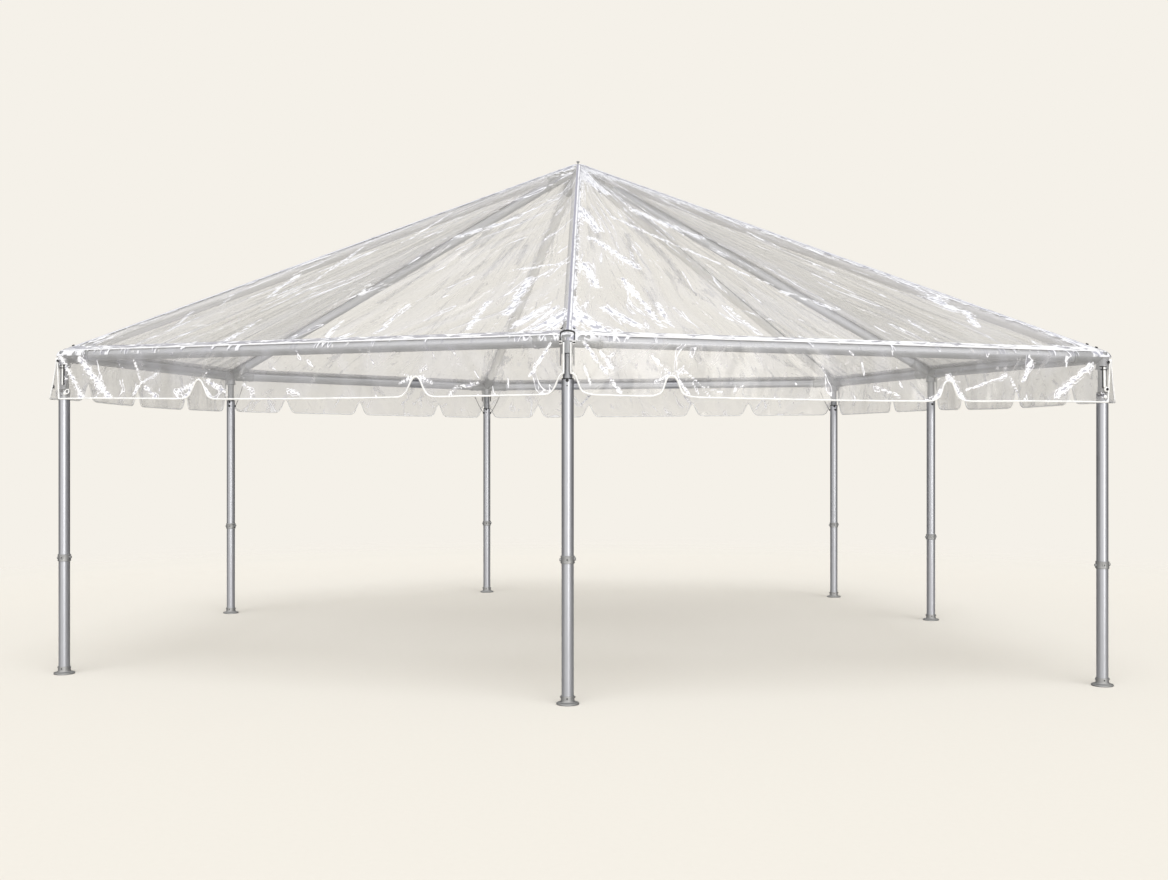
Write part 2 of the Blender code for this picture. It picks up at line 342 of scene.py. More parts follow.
# %% World
CREAM = (0.913, 0.879, 0.815)
world = bpy.data.worlds.new("studio")
scene = bpy.context.scene
scene.world = world
sky = Shader(world)
across, deep, height = sky.parts(sky.node("TexCoord", out="Generated"))
front = (-0.95 * deep + 0.03 * across).step(0.25, 0.75)
top = height.step(0.20, 0.70)
side_walls = (1.0 - deep).step(0.0, 1.05)
bright_strip = (0.37 * across - 0.93 * deep).step(0.968, 0.997)
room = 0.03 + 0.29 * side_walls + 0.72 * front + 0.59 * top + 2.2 * bright_strip
room_parts = {"Red": room * 1.02, "Green": room * 0.99, "Blue": room * 0.925}
room_colour = sky.node("CombineColor", values=room_parts)
seen = sky.node("LightPath", out="Is Camera Ray")
shown = sky.blend(seen, room_colour, CREAM)
sky.end(sky.node("Background", values={"Color": shown, "Strength": 1.0}), "OutputWorld")
scene.view_settings.view_transform = "Standard"
scene.view_settings.look = "None"
scene.cycles.transparent_max_bounces = 24  # light passes many layers of film
print("world nodes:", len(world.node_tree.nodes))

# %% [markdown]
# The floor is one large level square, for a studio floor that curves up out of sight. The curve
# could be modelled as well, but from low in front its edge would show. The square's material
# turns clear far from the tent instead, so the floor runs into the cream behind it with no line.

# %% Floor
FLOOR_HALF = 22.0
floor_mesh = bpy.data.meshes.new("floor")
corners = [(x * FLOOR_HALF, y * FLOOR_HALF, 0.0) for x, y in ((-1, -1), (1, -1), (1, 1), (-1, 1))]
floor_mesh.from_pydata(corners, [], [(0, 1, 2, 3)])
floor = bpy.data.objects.new("floor", floor_mesh)
scene.collection.objects.link(floor)
floor_material, paint = new_material("floor")
x, y, z = paint.space_place()
from_middle = (x * x + y * y) ** 0.5
speckle = paint.noise(x * 30.0, y * 30.0, detail=4.0)
sand = paint.blend(speckle, (0.675, 0.648, 0.603), (0.695, 0.668, 0.623))
# Seen in a mirror the floor is painted darker and half clear: painted shade in the tubes' reflections of it.
mirrored = paint.node("LightPath", out="Is Glossy Ray")
matt = paint.node("BsdfDiffuse", values={"Color": paint.blend(mirrored, sand, (0.45, 0.435, 0.41))})
gone = from_middle.step(6.0, 12.0).at_least(0.5 * mirrored)
paint.end(paint.mix(gone, matt, paint.node("BsdfTransparent")))
floor_mesh.materials.append(floor_material)
print("floor:", 2 * FLOOR_HALF, "m across")

# %% [markdown]
# Every surface of the tent is a grid of points that a formula lays out as whole arrays. It could be
# pushed and pulled out of a stock shape instead, but a formula keeps every joint exact. A Patch is
# such a grid with its four-cornered faces and a map in metres for the finish.

# %% Patches
Patch = namedtuple("Patch", "points quads uvs uv_quads")


def quads_of(index):
    """The four corners of each cell of a grid of indices."""
    corners = [index[:-1, :-1], index[:-1, 1:], index[1:, 1:], index[1:, :-1]]
    return np.stack(corners, axis=-1).reshape(-1, 4)


def grid(points, uvs, ring=False, loop=False):
    """A patch from points (rows, columns, 3) and uvs in metres. A ring's last column meets its
    first, and a loop's last row meets its first; its uvs have one column or row more. A row that
    has shrunk to one place uses one point all along."""
    rows, columns = points.shape[:2]
    index = np.arange(rows * columns).reshape(rows, columns)
    point_like = np.ptp(points, axis=1).max(axis=-1) < 1e-9
    index[point_like] = index[point_like][:, :1]
    if ring:
        index = np.concatenate([index, index[:, :1]], axis=1)
    if loop:
        index = np.concatenate([index, index[:1]], axis=0)
    uv_index = np.arange(uvs.shape[0] * uvs.shape[1]).reshape(uvs.shape[:2])
    return Patch(points.reshape(-1, 3), quads_of(index), uvs.reshape(-1, 2), quads_of(uv_index))


def joined(patches):
    """Several patches as one."""
    point_start = np.cumsum([0] + [len(patch.points) for patch in patches])
    uv_start = np.cumsum([0] + [len(patch.uvs) for patch in patches])
    return Patch(
        np.concatenate([patch.points for patch in patches]),
        np.concatenate([patch.quads + start for patch, start in zip(patches, point_start)]),
        np.concatenate([patch.uvs for patch in patches]),
        np.concatenate([patch.uv_quads + start for patch, start in zip(patches, uv_start)]),
    )


def flipped(patch):
    """The same patch with its faces turned over."""
    return patch._replace(quads=patch.quads[:, ::-1], uv_quads=patch.uv_quads[:, ::-1])


def facing_out(patch):
    """A closed patch with its faces outwards. The sum of corner products over its triangles is six
    times the volume inside, and it is negative where the faces look inwards."""
    a, b, c, d = (patch.points[patch.quads[:, k]] for k in range(4))
    volume = np.sum(a * np.cross(b, c)) + np.sum(a * np.cross(c, d))
    return patch if volume > 0 else flipped(patch)


# %% [markdown]
# A patch becomes a Blender mesh in a few calls that take whole arrays, which is much quicker than
# adding faces one by one. Where a row has shrunk to a point, its faces lose their double corner and
# become triangles, so the tips of rounded shapes are closed.

# %% Pieces


def make_piece(name, patches, material, stands_for=(), sharp=40.0, marks=None):
    """A mesh object on the tent's frame from one patch or several. Edges sharper than an angle in
    degrees stay crisp. Marks are named numbers, one for each point, that the finish reads."""
    patch = joined(patches) if isinstance(patches, list) else patches
    used, quads = np.unique(patch.quads, return_inverse=True)
    quads = quads.reshape(-1, 4)
    keep = quads != np.roll(quads, 1, axis=1)
    corner_counts = keep.sum(axis=1)
    mesh = bpy.data.meshes.new(name)
    mesh.vertices.add(len(used))
    mesh.vertices.foreach_set("co", patch.points[used].astype(np.float32).ravel())
    mesh.loops.add(int(corner_counts.sum()))
    mesh.loops.foreach_set("vertex_index", quads[keep].astype(np.int32))
    mesh.polygons.add(len(quads))
    starts = np.cumsum(corner_counts) - corner_counts
    mesh.polygons.foreach_set("loop_start", starts.astype(np.int32))
    mesh.update(calc_edges=True)
    layer = mesh.uv_layers.new(name="metres")
    layer.uv.foreach_set("vector", patch.uvs[patch.uv_quads[keep]].astype(np.float32).ravel())
    for label, values in (marks or {}).items():
        attribute = mesh.attributes.new(label, "FLOAT", "POINT")
        attribute.data.foreach_set("value", np.asarray(values, np.float32).ravel()[used])
    mesh.validate()
    mesh.shade_smooth()
    if sharp is not None:
        mesh.set_sharp_from_angle(angle=math.radians(sharp))
    mesh.materials.append(material)
    obj = bpy.data.objects.new(name, mesh)
    scene.collection.objects.link(obj)
    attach(obj, "root")
    if stands_for:
        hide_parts(*stands_for)
    return obj


# %% [markdown]
# Tube, foot plates, sockets and bolts are all turned on a lathe in the workshop, or could be. Here
# too they are turned shapes: a profile of radius and height that goes once round a line. A tube's
# profile is a closed loop, which gives it a wall and open ends that a stock cylinder lacks.

# %% Turned shapes
ROUND = 48  # points round a tube
TUBE_WALL = 0.0032
RIM_EDGE = 0.0006


def run_along(path):
    """How far along a path each of its points is, in metres."""
    return np.concatenate([[0.0], np.cumsum(np.linalg.norm(np.diff(path, axis=0), axis=1))])


def axes_across(direction):
    """Two unit directions square to a direction and to each other."""
    helper = UP if abs(direction[2]) < 0.9 else np.array((0.0, 1.0, 0.0))
    first = unit(np.cross(helper, direction))
    return first, np.cross(direction, first)


def turned(profile, start, direction, sides=ROUND, loop=False):
    """Turns a profile round a line: point = start + height * direction + radius * (cos a * first +
    sin a * second). Without loop, the profile starts and ends on the line."""
    profile = np.array(profile, float)
    direction = unit(np.array(direction, float))
    first, second = axes_across(direction)
    angle = np.linspace(0.0, 2 * np.pi, sides, endpoint=False)
    round_it = np.cos(angle)[:, None] * first + np.sin(angle)[:, None] * second
    radius, height = profile[:, 0, None, None], profile[:, 1, None, None]
    points = np.array(start) + height * direction + radius * round_it
    run = run_along(np.concatenate([profile, profile[:1]]) if loop else profile)
    around = np.linspace(0.0, 2 * np.pi * profile[:, 0].max(), sides + 1)
    uvs = np.stack(np.meshgrid(around, run), axis=-1)
    return facing_out(grid(points, uvs, ring=True, loop=loop))


def rounded(profile, radius, steps=2):
    """A profile with each inner corner cut to a small arc: between the points a radius before and
    after a corner, the curve is the blend of both straight lines with the weights of a parabola."""
    profile = np.array(profile, float)
    before, corner, after = profile[:-2], profile[1:-1], profile[2:]
    reach_in = np.minimum(radius, 0.45 * np.linalg.norm(corner - before, axis=1))[:, None]
    reach_out = np.minimum(radius, 0.45 * np.linalg.norm(after - corner, axis=1))[:, None]
    first = corner + reach_in * unit(before - corner)
    last = corner + reach_out * unit(after - corner)
    t = np.linspace(0.0, 1.0, steps + 1)[None, :, None]
    arcs = (1 - t) ** 2 * first[:, None] + 2 * t * (1 - t) * corner[:, None] + t**2 * last[:, None]
    return np.concatenate([profile[:1], arcs.reshape(-1, 2), profile[-1:]])


def tube_patch(start, end, outer):
    """A tube with softened rims between two points."""
    length = np.linalg.norm(end - start)
    inner = outer - TUBE_WALL
    radii = [inner, inner + RIM_EDGE, outer - RIM_EDGE, outer]
    near_end = list(zip(radii, (RIM_EDGE, 0.0, 0.0, RIM_EDGE)))
    far_end = [(radius, length - height) for radius, height in reversed(near_end)]
    return turned(near_end + far_end, start, end - start, loop=True)


# %% [markdown]
# The tube is drawn aluminium with a satin skin. Drawing leaves fine lines along the tube, so the
# roughness and a very fine bump come from noise that is stretched along it. Handling leaves
# faint cloudy marks, which a second, broader noise adds. Castings have a grain with no direction,
# so their noise is read from the place in space. Pictures of metal would need a file for each.

# %% Aluminium finishes


def drawn_aluminium(name, tone, rough, metal=1.0):
    """Satin drawn tube: fine lines along the piece, with soft cloudy wear."""
    material, shader = new_material(name)
    around, along = shader.surface_place()
    lines = shader.noise(around * 900.0, along * 9.0, detail=3.0)
    clouds = shader.noise(around * 25.0, along * 4.0, detail=4.0)
    scratches = shader.noise(around * 260.0, along * 3.0, 4.0, detail=1.0).step(0.68, 0.74)
    shade = (0.35 * lines + 0.65 * clouds).held()
    colour = shader.blend(shade, scaled(tone, 0.86), scaled(tone, 1.06))
    roughness = rough - 0.05 + 0.10 * lines + 0.06 * clouds + 0.08 * scratches
    normal = shader.bump(lines * 0.00004 + clouds * 0.0001)
    shader.end(shader.principled(colour, roughness, normal, metal))
    return material


def cast_aluminium(name, tone, rough):
    """Sand-cast fitting: fine grain in the skin and darker hollows."""
    material, shader = new_material(name)
    x, y, z = shader.space_place()
    grain = shader.noise(x * 420.0, y * 420.0, z * 420.0, detail=3.0)
    clouds = shader.noise(x * 28.0, y * 28.0, z * 28.0, detail=4.0)
    shade = (0.3 * grain + 0.7 * clouds).held()
    colour = shader.blend(shade, scaled(tone, 0.74), scaled(tone, 1.08))
    roughness = rough + 0.12 * grain + 0.10 * clouds
    normal = shader.bump(grain * 0.00025 + clouds * 0.0004)
    shader.end(shader.principled(colour, roughness, normal, 1.0))
    return material


TUBE_SKIN = drawn_aluminium("drawn_aluminium", (0.60, 0.62, 0.685), 0.28)
# Lighter copies of the tube's finish for the rafters under the film: painted light, the second as pale as the
# lit film around it.
LIT_COPY_SKIN = drawn_aluminium("lit_copy_aluminium", (0.66, 0.66, 0.69), 0.34, metal=0.50)
FILM_TONE_SKIN = drawn_aluminium("film_tone_aluminium", (0.80, 0.80, 0.81), 0.45, metal=0.15)
CAST_SKIN = cast_aluminium("cast_aluminium", (0.52, 0.53, 0.55), 0.34)
HEAD_SKIN = cast_aluminium("dark_cast_aluminium", (0.415, 0.43, 0.465), 0.32)
BOLT_SKIN = cast_aluminium("plated_steel", (0.34, 0.345, 0.36), 0.26)
print("finishes so far:", len(bpy.data.materials))

# %% [markdown]
# The poles are the legs in two lengths, the rails and the rafters. The imported solids of the same
# names already have the right ends, but their sides are coarse facets, so each pole is turned anew
# between the same ends. The three front rafters get a paler copy of the tube's finish, painted light
# for the light they catch under the film, and the two rafters at the back a near white one, painted
# to the tone of the lit film around them, so they fade into it.

# %% Legs, rails and rafters
TUBE_RADIUS = 0.0381
FOOT_THICKNESS = 0.0123
SEAM_GAP = 0.0003  # between the two lengths of a leg
SOCKET_BORE = 0.0953  # from a head's middle to the tube that is stuck in its socket
CROWN_BORE = 0.1903
COLLAR_RISE = 0.010  # of a leg's collar over the seam
RAFTER_SKINS = (LIT_COPY_SKIN, LIT_COPY_SKIN, LIT_COPY_SKIN, TUBE_SKIN, FILM_TONE_SKIN, FILM_TONE_SKIN, TUBE_SKIN)


def pole(name, node, start, end, skin=TUBE_SKIN):
    """A tube between two points that stands for a packed one."""
    make_piece(name, tube_patch(start, end, TUBE_RADIUS), skin, [node])


for name, head in zip(LEGS, HEADS):
    foot = np.array((*head[:2], FOOT_THICKNESS))
    seam = np.array((*head[:2], box(f"lower_leg_{name}")[1][2] - COLLAR_RISE))
    pole(f"leg_lower_{name}", f"lower_leg_{name}", foot, seam)
    pole(f"leg_upper_{name}", f"upper_leg_{name}", seam + SEAM_GAP * UP, head - RIM_DROP * UP)

for k, side in enumerate(SIDES):
    start, end = HEADS[k] + ALONG[k] * SOCKET_BORE, HEADS[k] + SPANS[k] - ALONG[k] * SOCKET_BORE
    pole(f"rail_{side}", f"eave_rail_{side}", start, end)

for k, name in enumerate(LEGS):
    start, end = HEADS[k] + RAFTER[k] * SOCKET_BORE, PEAK - RAFTER[k] * CROWN_BORE
    pole(f"pole_{name}", f"rafter_{name}", start, end, RAFTER_SKINS[k])

print("poles:", 4 * COUNT)

# %% [markdown]
# The foot is a round cast plate with a soft edge. It rises in a flare to a collar round the tube,
# and a bolt goes through the collar. One profile holds all of that, bore included, so the plate
# needs no joining of parts.

# %% Feet
FOOT_COLLAR = 0.0425
FOOT_BORE = 0.0384
FOOT_HEIGHT = 0.055

for name, head in zip(LEGS, HEADS):
    low, high = box(f"base_plate_{name}")
    radius = (high[0] - low[0]) / 2
    profile = [(0.0, 0.0), (radius - 0.003, 0.0), (radius, 0.003), (radius, 0.009), (radius - 0.003, 0.012)]
    profile += [(0.056, 0.0135), (0.0485, 0.0165), (0.0445, 0.021), (FOOT_COLLAR, 0.027)]
    profile += [(FOOT_COLLAR, FOOT_HEIGHT - 0.0015), (FOOT_COLLAR - 0.0015, FOOT_HEIGHT)]
    profile += [(FOOT_BORE + 0.0008, FOOT_HEIGHT), (FOOT_BORE, FOOT_HEIGHT - 0.001)]
    profile += [(FOOT_BORE, 0.012), (0.0, 0.012)]
    plate = turned(rounded(profile, 0.0012), (head[0], head[1], 0.0), UP, sides=64)
    make_piece(f"foot_{name}", plate, CAST_SKIN, [f"base_plate_{name}"], sharp=30.0)

print("feet:", COUNT)

# %% [markdown]
# The film is clear vinyl, half a millimetre thick. It lets nine tenths of the light through,
# mirrors more the flatter it is looked at, and turns milky where it has been creased. Its white
# streaks are partly that crease whitening and partly painted highlights, glints of soft lights on
# the wrinkles put into its colour, with painted lilac shade beside and inside them. The creases
# could all be modelled, but there are hundreds of them, finer than any mesh, so noise draws them in
# the film's own flow: its map runs across the wrinkles and along them, and one finish gives long
# streaks up the roof and fans round the valance's notches.

# %% Creases and painted highlights in the finish
FilmNoise = namedtuple("FilmNoise", "long broad dots hairs crumple soft")


def film_noise(shader, across, along, stretch):
    """Six noises in the film's flow, from long soft waves to fine hairs. All of them wander from
    side to side together, and stretch shortens them along the flow."""
    wander = shader.noise(across * 0.8, along * 0.8, 7.0, detail=1.0) - 0.5
    bent = across + 0.5 * wander
    flow = along * stretch
    return FilmNoise(
        long=shader.noise(bent * 11.0, flow * 1.5, detail=3.0, distortion=0.4),
        broad=shader.noise(bent * 4.5, flow * 1.6, 9.0, detail=4.0, roughness=0.6, distortion=0.4),
        dots=shader.noise(bent * 34.0, flow * 12.0, 3.0, detail=1.0),
        hairs=shader.noise(bent * 22.0 + flow * 4.0, flow * 1.0, 5.0, detail=1.0),
        crumple=shader.noise(bent * 30.0 + flow * 9.0, flow * 17.0, 2.0, detail=3.0, distortion=0.8),
        soft=shader.noise(bent * 7.0, flow * 0.9, 1.0, detail=1.5),
    )


def crease_and_glint_masks(noise, crease_and_glint, level, hatch):
    """Where the film is white, where thin threads and darker edges lie beside that, and where lilac
    marks lie on it. The white and the threads are partly crease whitening and partly painted
    highlight, the edges are painted shade on the flank beside each crease, and the marks are painted
    shade in the crumpled cores. A crease is white from low to low + 0.03 of the long noise and again
    over low + 0.10, so a large one is a bright outline with a clear middle. Low is the level less a
    part of the mark, and where the mark is near 1 the crease is solid."""
    low = level - 0.17 * crease_and_glint
    outline = noise.long.step(low, low + 0.008) - noise.long.step(low + 0.024, low + 0.036)
    top = noise.long.step(low + 0.100, low + 0.108)
    patch = noise.broad.step(low + 0.07, low + 0.08) * noise.dots.step(0.40, 0.46)
    dash = noise.dots.step(0.64, 0.67) * noise.broad.step(low - 0.08, low - 0.05) * hatch
    crush_level = 0.62 - 0.14 * crease_and_glint
    crush = noise.crumple.step(crush_level, crush_level + 0.03) * crease_and_glint.step(0.35, 0.75)
    core = (crease_and_glint + 0.5 * (noise.crumple - 0.5)).step(0.88, 0.93)
    white = outline.at_least(top).at_least(patch).at_least(dash).at_least(crush).at_least(core).held()
    thread = noise.hairs.step(0.62, 0.65) * noise.broad.step(0.46, 0.58) * (1.0 - white) * hatch
    edge = noise.long.step(low - 0.035, low - 0.005) * (1.0 - white)
    marks = 0.85 * core * noise.dots.step(0.54, 0.60)
    return white, thread, edge, marks


print("noises in the film:", len(FilmNoise._fields))

# %% [markdown]
# Clear film is a mix of three surfaces. Two of them, a see-through one and a mirror, stand for the
# clear parts. Blender's glass would bend the light as a solid block does, which thin film doesn't.
# The third is plain milky vinyl, and the creases say where it shows. Its white is partly crease
# whitening and partly painted highlight, and its lilac edges and marks are painted shade.

# %% Clear vinyl
VEIL_BLUE = (0.74, 0.74, 0.80)
# Painted shade on the flank beside each white crease.
FLANK_SHADE_LILAC = (0.54, 0.54, 0.62)
THREAD_WHITE = (0.90, 0.89, 0.88)
# Painted shade: lilac spots in the crumpled white cores.
LILAC_SHADE = (0.42, 0.42, 0.49)  # as a share of the white that it lies on


def clear_vinyl(name, clearness, stretch, level, hatch, haze, bulk, veil_tone, crease_and_glint_tone):
    """Clear film with milky creases, which are partly painted highlights, and painted lilac shade
    beside and inside them. Film has two sides, so what it mirrors is 2 m / (1 + m), where m is what
    one side mirrors: 0.04 where it faces the eye and all at a glancing angle."""
    material, shader = new_material(name)
    across, along = shader.surface_place()
    crease_and_glint = shader.node("Attribute", {"attribute_name": "crease_and_glint"}, out="Fac")
    noise = film_noise(shader, across, along, stretch)
    white, thread, edge, marks = crease_and_glint_masks(noise, crease_and_glint, level, hatch)
    cloud = noise.soft.step(0.38, 0.70)
    veil = haze + 0.10 * cloud + 0.05 * crease_and_glint.held()
    milky = (0.93 * white + 0.30 * thread + 0.12 * edge + veil * (1.0 - white)).held()
    lilac_shade_tone = [share * value for share, value in zip(LILAC_SHADE, crease_and_glint_tone)]
    colour = shader.blend(cloud, veil_tone, VEIL_BLUE)
    # The edge and mark layers are painted shade, and the white layer is partly painted highlight.
    layers = ((edge, FLANK_SHADE_LILAC), (thread, THREAD_WHITE), (white, crease_and_glint_tone), (marks, lilac_shade_tone))
    for share, tone in layers:
        colour = shader.blend(share, colour, tone)
    waves = bulk * (0.014 * noise.soft + 0.003 * noise.long + 0.003 * noise.broad)
    normal = shader.bump(waves + 0.0025 * crease_and_glint * noise.crumple)
    glancing = shader.node("LayerWeight", values={"Blend": 0.5, "Normal": normal}, out="Facing")
    one_side = 0.04 + 0.96 * glancing**5.0
    mirror = 2.0 * one_side / (1.0 + one_side)
    window = shader.node("BsdfTransparent", values={"Color": (clearness, clearness, clearness)})
    gloss_values = {"Color": (1.0, 1.0, 1.0), "Roughness": 0.08, "Normal": normal}
    gloss = shader.node("BsdfGlossy", values=gloss_values)
    milk = shader.principled(colour, 0.30, normal)
    shader.end(shader.mix(milky, shader.mix(mirror, window, gloss), milk))
    return material


FILM = clear_vinyl(
    "clear_vinyl", clearness=0.985, stretch=1.0, level=0.645, hatch=0.6, haze=0.10, bulk=1.0,
    veil_tone=(0.78, 0.767, 0.760), crease_and_glint_tone=(0.77, 0.78, 0.83),
)
SKIRT_FILM = clear_vinyl(
    "clear_vinyl_valance", clearness=0.88, stretch=2.6, level=0.660, hatch=0.3, haze=0.15, bulk=0.65,
    veil_tone=(0.66, 0.655, 0.655), crease_and_glint_tone=(0.94, 0.95, 1.0),
)
print("clear finishes:", FILM.name, SKIRT_FILM.name)

# %% [markdown]
# Piping, patches and knots are opaque white vinyl. A flat white would look like paper, so it gets
# faint scuffs that dull and darken it a little, and fine ribs that catch the light.

# %% White vinyl


def white_vinyl(name, tone, rough):
    """Opaque white vinyl with faint scuffs."""
    material, shader = new_material(name)
    across, along = shader.surface_place()
    scuffs = shader.noise(across * 60.0, along * 14.0, detail=4.0)
    ribs = shader.noise(across * 400.0, along * 60.0, 2.0)
    colour = shader.blend(scuffs.step(0.42, 0.62), scaled(tone, 0.86), tone)
    normal = shader.bump(0.0012 * scuffs + 0.0003 * ribs)
    shader.end(shader.principled(colour, rough + 0.15 * scuffs, normal))
    return material


WELT = white_vinyl("white_vinyl", (0.93, 0.935, 0.95), 0.28)
print("white finish:", WELT.name)

# %% [markdown]
# A hip of the roof is a welded seam: a tape with white flanks, where the weld has turned the film
# milky, a dark line along its middle, where the two panels meet, and a thin one along each edge.
# The lines could be strips of their own, but the tape's map already says how far each place is from
# its middle, so one formula draws all three.

# %% Seam tape finish
MIDDLE_LINE = (0.0065, 0.0095)  # from full to none, in metres from the tape's middle
EDGE_LINES = (0.0195, 0.0215)  # from none to full


def tape_vinyl(name):
    """Welded tape. Across is 0 on its middle line, which wanders by 2 mm."""
    material, shader = new_material(name)
    across, along = shader.surface_place()
    scuffs = shader.noise(across * 90.0, along * 16.0, detail=3.0, distortion=0.5)
    wander = 0.004 * (shader.noise(0.0, along * 3.0, 5.0) - 0.5)
    middle_line = 1.0 - (across - wander).size().step(*MIDDLE_LINE)
    edge_lines = across.size().step(*EDGE_LINES)
    marks = middle_line.at_least(0.6 * scuffs.step(0.54, 0.60)).at_least(0.8 * edge_lines)
    colour = shader.blend(marks, (0.74, 0.75, 0.79), (0.27, 0.27, 0.34))
    shader.end(shader.principled(colour, 0.30, shader.bump(0.0012 * scuffs)))
    return material


TAPE = tape_vinyl("seam_tape_vinyl")
print("tape finish:", TAPE.name)

# %% [markdown]
# The hem is doubled film, so it is cloudier than the roof. Its lower edge is a white weld, which
# also stands for the highlight where the film turns over the rail: partly a weld, partly a painted
# highlight. The rest could be a second clear finish, but it lies on a rail and is seen in front of
# metal only, so a mix of milk and a window is enough, crossed by broken white creases that are
# partly painted highlights too.

# %% Hem finish
WELD_EDGE = (0.010, 0.016)  # from full to none, in metres up from the hem's lower edge


def hem_vinyl(name):
    """Doubled film with a white weld that is partly a painted highlight. The mark makes it whiter."""
    material, shader = new_material(name)
    across, along = shader.surface_place()
    crease_and_glint = shader.node("Attribute", {"attribute_name": "crease_and_glint"}, out="Fac")
    broken = shader.noise(across * 45.0, along * 9.0, detail=3.0, distortion=0.6)
    lines = shader.noise(across * 160.0, along * 2.5, 3.0)
    weld = 1.0 - across.step(*WELD_EDGE)
    crease_level = 0.56 - 0.20 * crease_and_glint
    crease = broken.step(crease_level, crease_level + 0.06)
    white = weld.at_least(crease).at_least(0.6 * lines.step(0.52, 0.60))
    colour = shader.blend(white, (0.42, 0.42, 0.49), (0.78, 0.785, 0.82))
    normal = shader.bump(0.0015 * broken + 0.0004 * lines)
    solid = (0.35 + 0.60 * white + 0.15 * lines).held()
    window = shader.node("BsdfTransparent", values={"Color": (0.93, 0.93, 0.93)})
    shader.end(shader.mix(solid, window, shader.principled(colour, 0.3, normal)))
    return material


HEM_FILM = hem_vinyl("hem_vinyl")
print("hem finish:", HEM_FILM.name)

# %% [markdown]
# The cover is one sheet sewn from seven panels. Seven flat sheets would show gaps or steps at the
# hips, so it is worked out as one ring-shaped grid: the columns go round the eaves and the rows go
# up from the rails to a small hole at the knob. Each row follows the fold lines over the rafters.
# A fold lies where the planes of two panels meet, a tube's radius and a little more off the rafter,
# and that point comes from solving three small equations.

# %% The lines that the cover follows
FILM_REACH = 0.0440  # from a tube's axis to the film
PEAK_HOLE = 0.024
WRAP_RUN = 0.055  # of film round the rail, from its outer side up to the slope
SLOPE_LENGTH = np.linalg.norm(PEAK - HEADS - SPANS / 2, axis=1)


def before(rows):
    """For each side the row of the side before it, which ends at the same leg."""
    return np.roll(rows, 1, axis=0)


def dots(first, second):
    """The dot product of each two vectors, as a column."""
    return np.sum(first * second, axis=-1, keepdims=True)


def meeting_point(first, second, third):
    """For each leg, the point off the head at which two flat films meet: x with first . x =
    second . x = reach and third . x = 0."""
    rows = np.stack([first, second, third], axis=1)
    reach = np.tile(np.array((FILM_REACH, FILM_REACH, 0.0)), (COUNT, 1))
    return np.linalg.solve(rows, reach[..., None])[..., 0]


FOLD = meeting_point(before(NORMAL), NORMAL, RAFTER)
CORNER = meeting_point(before(OUTWARD), OUTWARD, np.tile(UP, (COUNT, 1)))


def start_of_fold():
    """How far up the rafter the fold starts: half way between the places where each panel's lower
    line, square above its rail, meets the other panel."""
    bend = FILM_REACH * (1 - dots(before(NORMAL), NORMAL))
    on_after = FILM_REACH * NORMAL + ALONG * (bend / dots(before(NORMAL), ALONG))
    on_before = FILM_REACH * before(NORMAL) + before(ALONG) * (bend / dots(NORMAL, before(ALONG)))
    return dots((on_after + on_before) / 2 - FOLD, RAFTER)


def end_of_fold():
    """How far up the rafter the fold ends, at the edge of the hole round the knob."""
    to_peak = PEAK - HEADS
    level = np.linalg.norm(to_peak[:, :2], axis=1, keepdims=True)
    return np.linalg.norm(to_peak, axis=1, keepdims=True) * (1 - PEAK_HOLE / level)


FOLD_FOOT = FOLD + RAFTER * start_of_fold()
FOLD_TOP = FOLD + RAFTER * end_of_fold()
print("folds start", start_of_fold()[:, 0].round(3), "m up the rafters")

# %% [markdown]
# One function gives any point of the cover. The film, the tape, the hem and all that is fixed to
# them ask it for their places, so nothing floats over the film or sinks into it. Each piece could be
# shrinkwrapped on to the film instead, but that would need the film to be there first.

# %% A point of the cover


def cover_at(run, side, u, lift=0.0):
    """Points of the cover at a share u of a side and a run in metres up from the rail's outer side.
    While it wraps, the offset turns from the eave's corner to the fold's foot, and then it goes
    straight up the folds. Both ends of the side are worked out and blended by u."""
    run = np.asarray(run, float)
    turn = np.clip(1 + run / WRAP_RUN, 0.0, 1.0)[..., None]
    climb = np.clip(run / SLOPE_LENGTH[side], 0.0, 1.0)[..., None]
    ends = []
    for leg in (side, (side + 1) % COUNT):
        size = (1 - turn) * np.linalg.norm(CORNER[leg], axis=-1, keepdims=True)
        size = size + turn * np.linalg.norm(FOLD_FOOT[leg], axis=-1, keepdims=True)
        offset = unit((1 - turn) * CORNER[leg] + turn * FOLD_FOOT[leg]) * size
        ends.append(HEADS[leg] + offset + climb * (FOLD_TOP[leg] - FOLD_FOOT[leg]))
    share = np.asarray(u)[..., None]
    away = unit((1 - turn) * OUTWARD[side] + turn * NORMAL[side])
    return ends[0] * (1 - share) + ends[1] * share + lift * away


print("film at the knob:", cover_at(SLOPE_LENGTH[0], 0, 0.0).round(3))

# %% [markdown]
# The film came out of its bag with hard creases, and the largest are where they show most: near the
# front hip, under the hem and at the notches. The white that each stroke gives is partly the crease
# and partly a painted highlight, a glint of the lights on the wrinkle. They could be painted as a
# picture, but a crease is only a straight stroke from one place to another with a width, so a short
# list of numbers says it. The panels that nobody has measured get strokes of the same kind, drawn
# from seeded numbers.

# %% Creases and painted highlights


def bell(distance, width):
    """1 at a place and less on both sides of it: exp(-(distance / width)^2)."""
    return np.exp(-((distance / width) ** 2))


